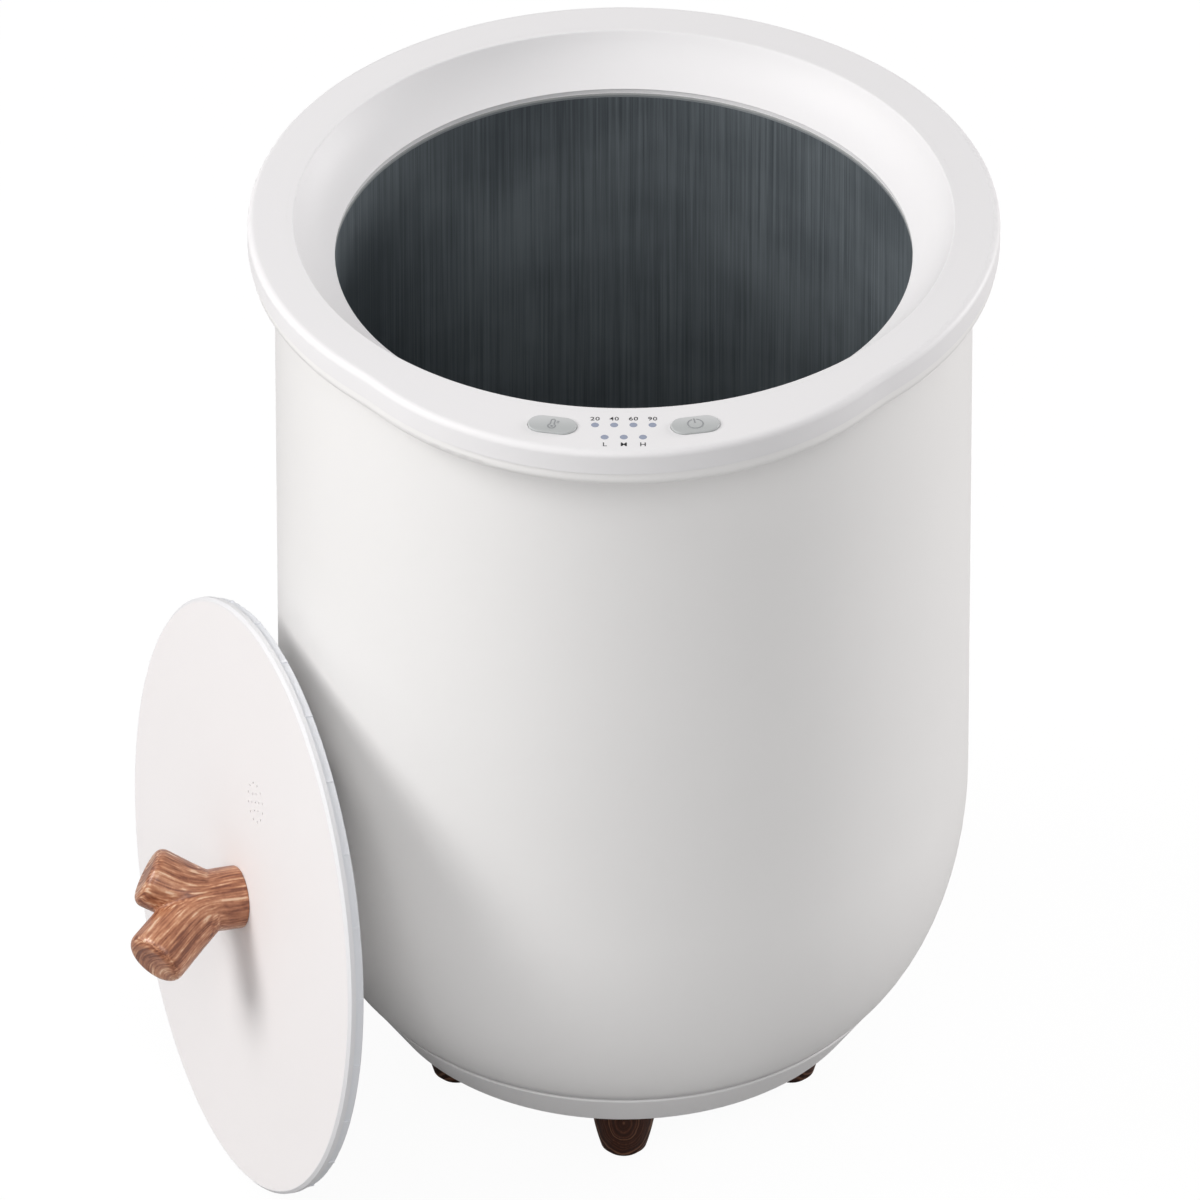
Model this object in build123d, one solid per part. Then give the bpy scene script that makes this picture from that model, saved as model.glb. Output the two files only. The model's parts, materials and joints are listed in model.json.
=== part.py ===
from build123d import *
import os
from math import acos, asin, cos, degrees, radians, sin, sqrt

# A towel warmer bucket: a round double-walled body on five wooden feet, with a heated
# aluminium pot inside it, a collar round its mouth that widens at the front into a
# control panel, and a loose lid with a forked wooden handle that leans on its side.
# Sizes are in millimetres. The floor is at Z = 0, the bucket's axis is X = Y = 0, and
# the control panel faces -Y. Angles round the axis are counted from the front.

# --- Driving dimensions: the outside of the bucket, from the floor up ---
foot_height = 37.3
base_height = 20.0
shell_curve_height = 100.5
shell_wall_height = 280.2
under_ring_depth = 8.0
collar_depth = 11.5

# --- Feet ---
foot_count = 5
foot_setback = 30.7
foot_top_radius = 15.5
foot_middle_radius = 12.9
foot_middle_height = 12.9
foot_tip_radius = 10.2
foot_tip_round = 2.2
foot_bolt_radius = 3.0
foot_bolt_depth = 22.0
foot_bolt_head_radius = 5.5
foot_bolt_head_height = 3.2

# --- Base cover and what it carries ---
base_taper = 13.4
base_proud = 1.0
base_wall = 2.5
base_edge_round = 0.9
base_screw_count = 5
base_screw_radius = 2.0
base_screw_head_radius = 4.0
base_screw_head_height = 2.6
base_screw_grip = 7.0
base_screw_inset = 18.0
pillar_wall = 2.4
vent_count = 12
vent_circle_radius = 46.0
vent_length = 22.0
vent_width = 3.0
power_board_length = 84.0
power_board_width = 52.0
power_board_thickness = 1.6
relay_size = (18.0, 15.0, 6.5)
relay_place = (-22.0, 4.0)
transformer_size = (20.0, 17.0, 7.0)
transformer_place = (8.0, 6.0)
driver_size = (14.0, 9.0, 6.0)
driver_place = (29.0, -2.0)
terminal_size = (16.0, 7.0, 5.0)
terminal_place = (16.0, -18.0)
capacitor_radius = 4.2
capacitor_height = 6.0
capacitor_place = (-4.0, -12.0)
ribbon_plug_size = (17.0, 5.0, 4.0)
standoff_height = 6.0
standoff_radius = 3.2
board_screw_radius = 1.3
board_screw_head_radius = 2.6
board_screw_head_height = 1.5
cord_bush_bore_radius = 3.6
cord_bush_wall = 2.0
cord_bush_flange = 2.6
cord_bush_flange_thickness = 2.0
cord_bush_reach = 9.0

# --- Outer shell ---
shell_taper = 31.4
shell_curve_width = 59.2
shell_wall = 2.2
shell_foot_flange = 30.0
shell_flange_gap = 1.6
shell_groove_height = 1.3
shell_groove_depth = 2.4

# --- Collar ---
opening_radius = 126.0
flare_width = 18.8
rim_width = 20.2
collar_overhang = 11.7
panel_swell = 13.6
panel_arc_inset = 27.0
panel_blend_radius = 250.0
collar_wall = 2.2
collar_edge_round = 3.2
ledge_round = 0.8
flare_drop = 19.3
flare_sag = 2.4
flare_wall = 2.9
mouth_round = 0.22
mounting_set_back = 1.2
lip_clearance = 3.1
under_ring_inset = 0.7
under_ring_round = 5.0
collar_screw_count = 6
collar_screw_radius = 1.5
collar_screw_head_radius = 2.5
collar_screw_head_height = 1.8
collar_screw_grip = 5.0

# --- Pot and what warms it ---
pot_wall = 1.0
pot_set_back = 1.0
pot_flange_inset = 1.0
gasket_thickness = 1.0
gasket_width = 5.0
pot_screw_count = 6
pot_screw_radius = 1.5
pot_screw_head_radius = 3.0
pot_screw_head_height = 2.0
pot_screw_grip = 6.0
film_thickness = 1.2
film_height = 210.0
film_rise = 62.0
strap_count = 3
strap_thickness = 0.6
strap_width = 12.0
felt_thickness = 9.0
felt_overlap = 9.0
felt_clearance_below_lip = 8.0
felt_disc_inset = 10.0
felt_disc_thickness = 19.6
felt_disc_gap = 0.7
felt_pocket_radius = 30.0
support_thickness = 1.2
support_rim = 6.1
support_hole_radius = 18.0
thermostat_radius = 8.0
thermostat_height = 9.0
fuse_radius = 2.2
fuse_length = 14.0
bracket_thickness = 0.8
bracket_width = 26.0
bracket_span = 46.0

# --- Control panel ---
button_length = 21.5
button_width = 12.0
button_angle = 11.1
button_setback = 17.6
button_proud = 0.9
button_travel = 0.5
button_flange = 0.9
button_flange_thickness = 0.7
button_clearance = 0.2
button_edge_round = 0.6
sign_height = 7.2
sign_line = 0.55
sign_tube_radius = 1.1
sign_bulb_radius = 1.9
sign_proud = 0.12
switch_body_size = 6.0
switch_body_height = 1.6
plunger_radius = 1.7
plunger_height = 1.6
plunger_well_depth = 1.2
light_radius = 1.7
light_spacing = 8.3
upper_light_setback = 21.0
lower_light_setback = 11.9
light_flange = 0.6
light_flange_thickness = 1.0
control_board_half_length = 48.0
control_board_back_gap = 3.6
control_board_front_gap = 6.2
control_board_side_gap = 1.0
control_board_thickness = 1.6
ribbon_width = 14.0
ribbon_thickness = 0.8
ribbon_clearance = 1.0
ribbon_small_bend = 3.0
ribbon_bend = 14.0
ribbon_wide_bend = 60.0

# --- Lid ---
lid_overlap = 7.6
lid_plate_thickness = 3.4
lid_plate_round = 1.3
lid_crown = 0.8
rib_ring_inset = 0.5
rib_ring_height = 4.1
rib_ring_round = 0.5
rib_count = 25
rib_turn = 2.3
rib_width = 1.6
rib_proud = 0.55
lid_wall = 2.0
liner_clearance = 2.0
liner_taper = 36.0
liner_depth = 15.8
liner_flange = 5.0
lid_seal_thickness = 1.4
lid_seal_width = 4.0
lid_vent_x = 8.5
lid_vent_y = 56.1
lid_vent_pitch = 4.4
lid_vent_hole_radius = 0.55
lid_azimuth = 201.1
lid_lean = 5.2
lid_sideways = 6.4
lid_gap = 0.3
handle_foot_radius = 14.0
handle_knot_height = 19.3
handle_knot_radius = 14.0
handle_prong_radius = 13.8
handle_tip_round = 4.0
handle_turn = -38.7
long_prong_length = 38.6
long_prong_angle = 39.0
short_prong_length = 28.8
short_prong_angle = 34.9
handle_bolt_radius = 3.0
handle_bolt_grip = 16.0
handle_bolt_head_radius = 5.5
handle_bolt_head_height = 3.5
handle_washer_radius = 9.0
handle_washer_thickness = 1.2

# --- Clearances ---
fit_gap = 0.2          # between parts that are put together by hand
thread_gap = 0.05      # round a screw in its hole
slide_gap = 0.1        # round a plunger in its well

# --- Levels worked out from the driving dimensions ---
base_bottom_z = foot_height
base_top_z = base_bottom_z + base_height
shell_curve_top_z = base_top_z + shell_curve_height
shell_top_z = shell_curve_top_z + shell_wall_height
under_ring_bottom_z = shell_top_z - under_ring_depth
power_board_top_z = base_bottom_z + base_wall + standoff_height + power_board_thickness
collar_bottom_z = shell_top_z
collar_top_z = collar_bottom_z + collar_depth
opening_z = collar_top_z - flare_drop
lip_bottom_z = opening_z - collar_wall
pot_flange_top_z = lip_bottom_z - gasket_thickness
pot_flange_bottom_z = pot_flange_top_z - pot_wall
boss_top_z = base_top_z + shell_wall + base_screw_grip
support_top_z = boss_top_z + support_thickness
pot_bottom_z = support_top_z + felt_disc_thickness + felt_disc_gap
pot_floor_z = pot_bottom_z + pot_wall
film_bottom_z = pot_bottom_z + film_rise
film_top_z = film_bottom_z + film_height
panel_under_z = collar_top_z - collar_wall

# --- Radii worked out from the driving dimensions, from the pot's mouth outwards ---
ledge_radius = opening_radius + flare_width
collar_radius = ledge_radius + rim_width
seam_radius = ledge_radius + flare_wall
panel_reach = collar_radius + panel_swell
panel_arc_radius = collar_radius - panel_arc_inset
shell_radius = collar_radius - collar_overhang
shell_inner_radius = shell_radius - shell_wall
shell_foot_radius = shell_radius - shell_taper
shell_flange_radius = collar_radius - collar_wall - shell_flange_gap
base_top_radius = shell_foot_radius + base_proud
base_bottom_radius = base_top_radius - base_taper
foot_circle_radius = base_bottom_radius - foot_setback
lip_outer_radius = shell_inner_radius - lip_clearance
pot_inner_radius = opening_radius + pot_set_back
pot_outer_radius = pot_inner_radius + pot_wall
pot_flange_radius = lip_outer_radius - pot_flange_inset
pot_screw_circle = pot_flange_radius - pot_screw_head_radius - 1.5
film_inner_radius = pot_outer_radius + fit_gap
film_outer_radius = film_inner_radius + film_thickness
strap_inner_radius = film_outer_radius + fit_gap
strap_outer_radius = strap_inner_radius + strap_thickness
felt_inner_radius = strap_outer_radius + fit_gap
felt_outer_radius = felt_inner_radius + felt_thickness
base_screw_circle = shell_foot_radius - base_screw_inset
support_radius = base_screw_circle + support_rim
collar_screw_circle = shell_radius + collar_screw_head_radius + 1.4
foot_step = 360 / foot_count
lid_radius = opening_radius + lid_overlap
liner_top_radius = opening_radius - liner_clearance
liner_bottom_radius = liner_top_radius - liner_taper
button_circle_radius = panel_reach - button_setback
board_boss_radius = board_screw_radius + 1.5

# --- Levels of the control board, from the panel's underside down ---
plunger_top_z = panel_under_z - fit_gap - button_flange_thickness
control_board_top_z = plunger_top_z - plunger_height - plunger_well_depth
control_board_bottom_z = control_board_top_z - control_board_thickness

# The lower shell is part of an ellipse whose centre is level with the straight wall.
curve_centre_radius = shell_radius - shell_curve_width
curve_end_cosine = (shell_foot_radius - curve_centre_radius) / shell_curve_width
curve_end_angle = degrees(acos(curve_end_cosine))
shell_curve_depth = shell_curve_height / sin(radians(curve_end_angle))


def around(radius, angle):
    """Point in plan at this distance from the axis, at this angle from the front."""
    return radius * sin(radians(angle)), -radius * cos(radians(angle))


def turned(*edges):
    """Solid of revolution whose half section is drawn with x as radius and y as height."""
    return revolve(Plane.XZ * make_face(edges), Axis.Z)


def ring(inner, outer, low, high):
    """Flat ring or tube between two radii and two heights."""
    corners = [(inner, low), (outer, low), (outer, high), (inner, high)]
    return turned(Polyline(*corners, close=True))


def post(radius, low, high, x=0, y=0):
    """Upright cylinder between two heights."""
    return Pos(x, y, (low + high) / 2) * Cylinder(radius, high - low)


def block(size_x, size_y, low, high, x=0, y=0):
    """Upright box between two heights, centred in plan on x and y."""
    return Pos(x, y, (low + high) / 2) * Box(size_x, size_y, high - low)


def screw(radius, grip, head_radius, head_height):
    """Pan head screw that points up, with its head's upper face at height zero."""
    driver_arm = block(head_radius * 1.2, head_radius * 0.28, -head_height, -head_height * 0.5)
    head = post(head_radius, -head_height, 0)
    head = fillet(head.edges().sort_by(Axis.Z)[0], head_height * 0.3)
    return head + post(radius, 0, grip) - driver_arm - Rot(0, 0, 90) * driver_arm


def group(solids):
    """Separate solids that share one node."""
    return Compound(children=[solid.solid() for solid in solids])


def shell_ellipse(inset, start_angle):
    """Lower curve of the shell, drawn in half section, offset inwards by the inset."""
    return EllipticalCenterArc(
        (curve_centre_radius, shell_curve_top_z),
        shell_curve_width - inset,
        shell_curve_depth - inset,
        start_angle=-start_angle,
        arc_size=start_angle,
    )


def collar_outline(inset):
    """Plan of the collar, moved in by the inset: a circle whose front swells into a panel
    of smaller radius, with a hollow arc that blends them on each side."""
    panel_centre_y = -(panel_reach - panel_arc_radius)
    circle_reach = collar_radius + panel_blend_radius
    panel_reach_sum = panel_arc_radius + panel_blend_radius
    # The blend's centre is at these distances from the two other centres.
    blend_y = (panel_reach_sum**2 - circle_reach**2 - panel_centre_y**2) / (-2 * panel_centre_y)
    blend_x = sqrt(circle_reach**2 - blend_y**2)
    circle_share = (collar_radius - inset) / circle_reach
    panel_share = (panel_arc_radius - inset) / panel_reach_sum
    circle_point = Vector(blend_x * circle_share, blend_y * circle_share)
    panel_point = Vector(
        blend_x * panel_share, panel_centre_y + (blend_y - panel_centre_y) * panel_share
    )
    blend_centre = Vector(blend_x, blend_y)
    inwards = ((circle_point + panel_point) / 2 - blend_centre).normalized()
    blend_point = blend_centre + inwards * (panel_blend_radius + inset)

    def mirrored(point):
        return Vector(-point.X, point.Y)

    back = ThreePointArc(circle_point, (0, collar_radius - inset), mirrored(circle_point))
    front = ThreePointArc(panel_point, (0, -panel_reach + inset), mirrored(panel_point))
    right = ThreePointArc(circle_point, blend_point, panel_point)
    left = ThreePointArc(mirrored(circle_point), mirrored(blend_point), mirrored(panel_point))
    return make_face([back, right, front, left])


def collar_slab(inset, low, high):
    """Solid with the collar's plan between two heights."""
    return Pos(0, 0, low) * extrude(collar_outline(inset), high - low)


def pill(length, width, low, high):
    """Upright solid with the plan of a button."""
    return Pos(0, 0, low) * extrude(SlotOverall(length, width), high - low)


def at_button(side, solid):
    """Moves a solid from the axis to the button on this side, turned to face the axis."""
    x, y = around(button_circle_radius, side * button_angle)
    return Pos(x, y, 0) * Rot(0, 0, side * button_angle) * solid


# --- Feet ---
def make_foot(angle):
    x, y = around(foot_circle_radius, angle)
    side = ThreePointArc(
        (foot_tip_radius, foot_tip_round),
        (foot_middle_radius, foot_middle_height),
        (foot_top_radius, foot_height),
    )
    tip_inner = foot_tip_radius - foot_tip_round
    tip = Line((tip_inner, 0), (foot_tip_radius, foot_tip_round))
    body = turned(
        Line((0, 0), (tip_inner, 0)),
        tip,
        side,
        Line((foot_top_radius, foot_height), (0, foot_height)),
        Line((0, foot_height), (0, 0)),
    )
    bore = post(foot_bolt_radius + thread_gap, foot_height - foot_bolt_depth - 1, foot_height)
    return Pos(x, y, 0) * (body - bore)


def make_foot_bolts():
    """Bolts that hold the feet from inside the base."""
    bolts = []
    for index in range(foot_count):
        x, y = around(foot_circle_radius, index * foot_step)
        seat_z = base_bottom_z + base_wall
        bolt = screw(
            foot_bolt_radius, foot_bolt_depth + base_wall, foot_bolt_head_radius, foot_bolt_head_height
        )
        bolts.append(Pos(x, y, seat_z) * Rot(180, 0, 0) * bolt)
    return group(bolts)


# --- Base ---
def base_screw_places():
    step = 360 / base_screw_count
    return [around(base_screw_circle, (index + 0.25) * step) for index in range(base_screw_count)]


def standoff_places():
    inset = standoff_radius + 0.8
    x = power_board_length / 2 - inset
    y = power_board_width / 2 - inset
    return [(x, y), (-x, y), (x, -y), (-x, -y)]


def cord_bush_z():
    return base_bottom_z + base_height * 0.5


def base_wall_radius(z):
    """Outer radius of the tapered base at this height."""
    share = (z - base_bottom_z) / base_height
    return base_bottom_radius + (base_top_radius - base_bottom_radius) * share


def make_base_cover():
    floor_top_z = base_bottom_z + base_wall
    outside = turned(
        Line((0, base_bottom_z), (base_bottom_radius, base_bottom_z)),
        Line((base_bottom_radius, base_bottom_z), (base_top_radius, base_top_z)),
        Line((base_top_radius, base_top_z), (0, base_top_z)),
        Line((0, base_top_z), (0, base_bottom_z)),
    )
    rims = outside.edges().filter_by(GeomType.CIRCLE).group_by(Axis.Z)
    outside = fillet(rims[0] + rims[-1], base_edge_round)
    hollow_low = base_wall_radius(floor_top_z) - base_wall
    hollow_high = base_top_radius - base_wall
    inside = turned(
        Line((0, floor_top_z), (hollow_low, floor_top_z)),
        Line((hollow_low, floor_top_z), (hollow_high, base_top_z)),
        Line((hollow_high, base_top_z), (0, base_top_z)),
        Line((0, base_top_z), (0, floor_top_z)),
    )
    cover = outside - inside
    pillar_radius = base_screw_head_radius + pillar_wall
    for x, y in base_screw_places():
        cover += post(pillar_radius, base_bottom_z + base_wall / 2, base_top_z, x, y)
        cover -= post(base_screw_radius + fit_gap, base_bottom_z, base_top_z, x, y)
        seat_z = base_bottom_z + base_screw_head_height + 1
        cover -= post(base_screw_head_radius + fit_gap, base_bottom_z, seat_z, x, y)
    for index in range(foot_count):
        x, y = around(foot_circle_radius, index * foot_step)
        cover -= post(foot_bolt_radius + fit_gap, base_bottom_z, floor_top_z, x, y)
    for x, y in standoff_places():
        stand_top_z = floor_top_z + standoff_height
        cover += post(standoff_radius, floor_top_z - base_wall / 2, stand_top_z, x, y)
        cover -= post(board_screw_radius + thread_gap, floor_top_z, stand_top_z, x, y)
    slot = extrude(SlotOverall(vent_length, vent_width), base_wall)
    for index in range(vent_count):
        angle = (index + 0.5) * 360 / vent_count
        x, y = around(vent_circle_radius, angle)
        cover -= Pos(x, y, base_bottom_z) * Rot(0, 0, angle + 90) * slot
    hole = Rot(-90, 0, 0) * Cylinder(cord_bush_bore_radius + cord_bush_wall, base_bottom_radius)
    cover -= Pos(0, base_bottom_radius, cord_bush_z()) * hole
    return cover


def make_base_screws():
    seat_z = base_bottom_z + base_screw_head_height + 1
    grip = base_top_z - seat_z + base_screw_grip
    return group(
        Pos(x, y, seat_z)
        * screw(base_screw_radius, grip, base_screw_head_radius, base_screw_head_height)
        for x, y in base_screw_places()
    )


def make_cord_bush():
    """Bush at the back of the base, where the mains lead enters."""
    z = cord_bush_z()
    outer_face = base_wall_radius(z) + cord_bush_flange_thickness
    tube_radius = cord_bush_bore_radius + cord_bush_wall
    barrel = Cylinder(tube_radius - thread_gap, cord_bush_reach)
    flange = Cylinder(tube_radius + cord_bush_flange, cord_bush_flange_thickness)
    flange = fillet(flange.edges().sort_by(Axis.Z)[-1], cord_bush_flange_thickness * 0.4)
    flange_place = Pos(0, 0, (cord_bush_reach - cord_bush_flange_thickness) / 2)
    bore = Cylinder(cord_bush_bore_radius, cord_bush_reach * 2)
    bush = barrel + flange_place * flange
    # The flange's inner face follows the slope of the base.
    bush = Pos(0, outer_face - cord_bush_reach / 2, z) * Rot(-90, 0, 0) * (bush - bore)
    slope = turned(
        Line((0, base_bottom_z), (base_bottom_radius, base_bottom_z)),
        Line((base_bottom_radius, base_bottom_z), (base_top_radius, base_top_z)),
        Line((base_top_radius, base_top_z), (0, base_top_z)),
        Line((0, base_top_z), (0, base_bottom_z)),
    )
    keep = Pos(0, base_bottom_radius, z) * Rot(-90, 0, 0) * Cylinder(tube_radius, base_bottom_radius)
    return bush - (slope - keep)


def ribbon_plug_y():
    return -power_board_width / 2 + ribbon_plug_size[1] / 2


def make_power_board():
    """Mains circuit board with its relay, transformer, capacitor and terminals."""
    low = power_board_top_z - power_board_thickness
    top = power_board_top_z
    board = block(power_board_length, power_board_width, low, top)
    for x, y in standoff_places():
        board -= post(board_screw_radius + fit_gap, low, top, x, y)
    for size, place in (
        (relay_size, relay_place),
        (transformer_size, transformer_place),
        (driver_size, driver_place),
        (terminal_size, terminal_place),
        (ribbon_plug_size, (0, ribbon_plug_y())),
    ):
        board += block(size[0], size[1], top, top + size[2], *place)
    return board + post(capacitor_radius, top, top + capacitor_height, *capacitor_place)


def make_power_board_screws():
    seat_z = power_board_top_z
    grip = power_board_thickness + standoff_height - 1
    part = screw(board_screw_radius, grip, board_screw_head_radius, board_screw_head_height)
    return group(Pos(x, y, seat_z) * Rot(180, 0, 0) * part for x, y in standoff_places())


# --- Outer shell ---
def make_outer_shell():
    """Thin wall with a flange at its foot for the base and one at its top for the collar."""
    foot_inner = shell_foot_radius - shell_foot_flange
    flange_top_z = shell_top_z + shell_wall
    outside = turned(
        Line((foot_inner, base_top_z), (shell_foot_radius, base_top_z)),
        shell_ellipse(0, curve_end_angle),
        Line((shell_radius, shell_curve_top_z), (shell_radius, shell_top_z)),
        Line((shell_radius, shell_top_z), (shell_flange_radius, shell_top_z)),
        Line((shell_flange_radius, shell_top_z), (shell_flange_radius, flange_top_z)),
        Line((shell_flange_radius, flange_top_z), (foot_inner, flange_top_z)),
        Line((foot_inner, flange_top_z), (foot_inner, base_top_z)),
    )
    # The inner curve ends where it meets the top of the foot flange.
    inner_depth = shell_curve_depth - shell_wall
    flange_drop = shell_curve_height - shell_wall
    inner_angle = degrees(acos(sqrt(1 - (flange_drop / inner_depth) ** 2)))
    inner_foot = curve_centre_radius + (shell_curve_width - shell_wall) * cos(radians(inner_angle))
    floor_z = base_top_z + shell_wall
    hole = foot_inner - shell_wall
    inside = turned(
        Line((hole, floor_z), (inner_foot, floor_z)),
        shell_ellipse(shell_wall, inner_angle),
        Line((shell_inner_radius, shell_curve_top_z), (shell_inner_radius, collar_top_z)),
        Line((shell_inner_radius, collar_top_z), (hole, collar_top_z)),
        Line((hole, collar_top_z), (hole, floor_z)),
    )
    shell = outside - inside
    # A narrow groove shows as a dark line between the shell and the base.
    groove_inner = shell_foot_radius - shell_groove_depth
    shell -= ring(groove_inner, shell_radius, base_top_z, base_top_z + shell_groove_height)
    boss_radius = base_screw_radius + pillar_wall
    for x, y in base_screw_places():
        shell += post(boss_radius, base_top_z + shell_wall / 2, boss_top_z, x, y)
        shell -= post(base_screw_radius + thread_gap, base_top_z, boss_top_z - 1, x, y)
    for x, y in collar_screw_places():
        shell -= post(collar_screw_radius + fit_gap, shell_top_z, shell_top_z + shell_wall, x, y)
    return shell


def make_support_plate():
    """Steel plate on the shell's bosses that carries the felt under the pot."""
    return ring(support_hole_radius, support_radius, boss_top_z, support_top_z)


def make_felt_disc():
    outer = support_radius - felt_disc_inset
    return ring(felt_pocket_radius, outer, support_top_z, support_top_z + felt_disc_thickness)


# --- Collar ---
def collar_screw_places():
    step = 360 / collar_screw_count
    return [
        around(collar_screw_circle, (index + 0.5) * step) for index in range(collar_screw_count)
    ]


def pot_screw_places():
    step = 360 / pot_screw_count
    return [around(pot_screw_circle, (index + 0.5) * step) for index in range(pot_screw_count)]


def flare_line(offset, drop):
    """Hollow curve from the ledge down to the opening, as seen in half section."""
    start = Vector(ledge_radius + offset, collar_top_z - drop)
    end = Vector(opening_radius + offset, opening_z)
    along = (end - start).normalized()
    middle = (start + end) / 2 + Vector(-along.Y, along.X) * flare_sag
    return ThreePointArc(start, middle, end)


def make_collar_top():
    """Upper collar: the flat rim, the panel and the skirt round them."""
    outer = collar_slab(0, collar_bottom_z, collar_top_z)
    top_edges = outer.faces().sort_by(Axis.Z)[-1].edges()
    outer = fillet(top_edges, collar_edge_round)
    collar = outer - collar_slab(collar_wall, collar_bottom_z, panel_under_z)
    boss_radius = collar_screw_radius + collar_wall
    for x, y in collar_screw_places():
        boss_low = shell_top_z + shell_wall
        collar += post(boss_radius, boss_low, panel_under_z + 0.5, x, y)
        collar -= post(collar_screw_radius + thread_gap, boss_low, boss_low + collar_screw_grip + 0.5, x, y)
    collar -= post(seam_radius, collar_bottom_z, collar_top_z)
    room = 2 * button_clearance
    opening = pill(button_length + room, button_width + room, panel_under_z, collar_top_z)
    for side in (-1, 1):
        collar -= at_button(side, opening)
    for x, y in light_places():
        collar -= post(light_radius + thread_gap, panel_under_z, collar_top_z, x, y)
    for x, y in board_screw_places():
        collar += post(board_boss_radius, control_board_top_z, panel_under_z + 0.5, x, y)
        collar -= post(board_screw_radius + thread_gap, control_board_top_z, panel_under_z - 0.5, x, y)
    return collar


def make_flare_ring():
    """Funnel from the collar's rim down to the mouth of the pot."""
    body = turned(
        flare_line(0, 0),
        Line((opening_radius, opening_z), (opening_radius + flare_wall, opening_z)),
        flare_line(flare_wall, 0),
        Line((seam_radius, collar_top_z), (ledge_radius, collar_top_z)),
    )
    circles = body.edges().filter_by(GeomType.CIRCLE)
    ledge_edges = circles.filter_by(lambda edge: abs(edge.radius - ledge_radius) < 0.01)
    body = fillet(ledge_edges, ledge_round)
    circles = body.edges().filter_by(GeomType.CIRCLE)
    mouth_edges = circles.filter_by(lambda edge: abs(edge.radius - opening_radius) < 0.01)
    return fillet(mouth_edges, mouth_round)


def make_mounting_ring():
    """Flat ring under the flare, with the bosses that the pot's screws go into."""
    inner = opening_radius + mounting_set_back
    flat = ring(inner, lip_outer_radius, lip_bottom_z, opening_z)
    boss_radius = pot_screw_radius + collar_wall
    funnel = turned(
        flare_line(flare_wall + fit_gap, 0),
        Line((opening_radius + flare_wall + fit_gap, opening_z), (0, opening_z)),
        Line((0, opening_z), (0, collar_top_z)),
        Line((0, collar_top_z), (seam_radius + fit_gap, collar_top_z)),
    )
    for x, y in pot_screw_places():
        boss_top = lip_bottom_z + pot_screw_grip + collar_wall
        flat += post(boss_radius, opening_z - 0.5, boss_top, x, y) - funnel
        flat -= post(pot_screw_radius + thread_gap, lip_bottom_z, boss_top - 1, x, y)
    return flat


def make_under_ring():
    """Lower collar: a channel that closes the collar's underside round the shell."""
    high = collar_bottom_z
    slab = collar_slab(under_ring_inset, under_ring_bottom_z, high)
    low_edges = slab.faces().sort_by(Axis.Z)[0].edges()
    slab = fillet(low_edges, under_ring_round)
    floor_top_z = under_ring_bottom_z + collar_wall
    pocket = collar_slab(under_ring_inset + collar_wall * 1.6, floor_top_z, high)
    inner_wall = post(shell_radius + fit_gap + collar_wall, under_ring_bottom_z, high)
    channel = slab - (pocket - inner_wall)
    for x, y in collar_screw_places():
        boss = post(collar_screw_head_radius + collar_wall * 0.8, under_ring_bottom_z + 1, high, x, y)
        channel += boss & slab
    channel -= post(shell_radius + fit_gap, under_ring_bottom_z, high)
    for x, y in collar_screw_places():
        seat_z = high - collar_wall
        channel -= post(collar_screw_radius + fit_gap, seat_z, high, x, y)
        channel -= post(collar_screw_head_radius + fit_gap, under_ring_bottom_z, seat_z, x, y)
    return channel


def make_collar_screws():
    seat_z = collar_bottom_z - collar_wall
    grip = collar_wall + shell_wall + collar_screw_grip
    part = screw(collar_screw_radius, grip, collar_screw_head_radius, collar_screw_head_height)
    return group(Pos(x, y, seat_z) * part for x, y in collar_screw_places())


# --- Pot ---
def make_pot_floor():
    """Flat disc that closes the pot, welded under the foot of its wall."""
    return post(pot_outer_radius, pot_bottom_z, pot_floor_z)


def make_pot_wall():
    """Rolled sheet wall of the pot, from its floor up to its rim."""
    return ring(pot_inner_radius, pot_outer_radius, pot_floor_z, pot_flange_bottom_z)


def make_pot_rim():
    """Flat rim welded on the pot's wall, by which the pot hangs from the flare."""
    rim = ring(pot_inner_radius, pot_flange_radius, pot_flange_bottom_z, pot_flange_top_z)
    for x, y in pot_screw_places():
        rim -= post(pot_screw_radius + fit_gap, pot_flange_bottom_z, pot_flange_top_z, x, y)
    return rim


def make_pot_gasket():
    return ring(pot_inner_radius, pot_inner_radius + gasket_width, pot_flange_top_z, lip_bottom_z)


def make_pot_spacers():
    """Collars round the pot's screws that keep the gasket from being crushed."""
    outer = pot_screw_radius + 1.8
    tube = post(outer, pot_flange_top_z, lip_bottom_z)
    tube -= post(pot_screw_radius + fit_gap, pot_flange_top_z, lip_bottom_z)
    return group(Pos(x, y, 0) * tube for x, y in pot_screw_places())


def make_pot_screws():
    grip = pot_wall + gasket_thickness + pot_screw_grip
    part = screw(pot_screw_radius, grip, pot_screw_head_radius, pot_screw_head_height)
    return group(Pos(x, y, pot_flange_bottom_z) * part for x, y in pot_screw_places())


def make_heater_film():
    return ring(film_inner_radius, film_outer_radius, film_bottom_z, film_top_z)


def make_film_straps():
    """Steel bands that hold the heating film on the pot."""
    straps = []
    for index in range(strap_count):
        middle = film_bottom_z + film_height * (index + 0.5) / strap_count
        low = middle - strap_width / 2
        straps.append(ring(strap_inner_radius, strap_outer_radius, low, low + strap_width))
    return group(straps)


def make_felt_sleeve():
    low = film_bottom_z - felt_overlap
    high = pot_flange_bottom_z - felt_clearance_below_lip
    return ring(felt_inner_radius, felt_outer_radius, low, high)


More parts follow.
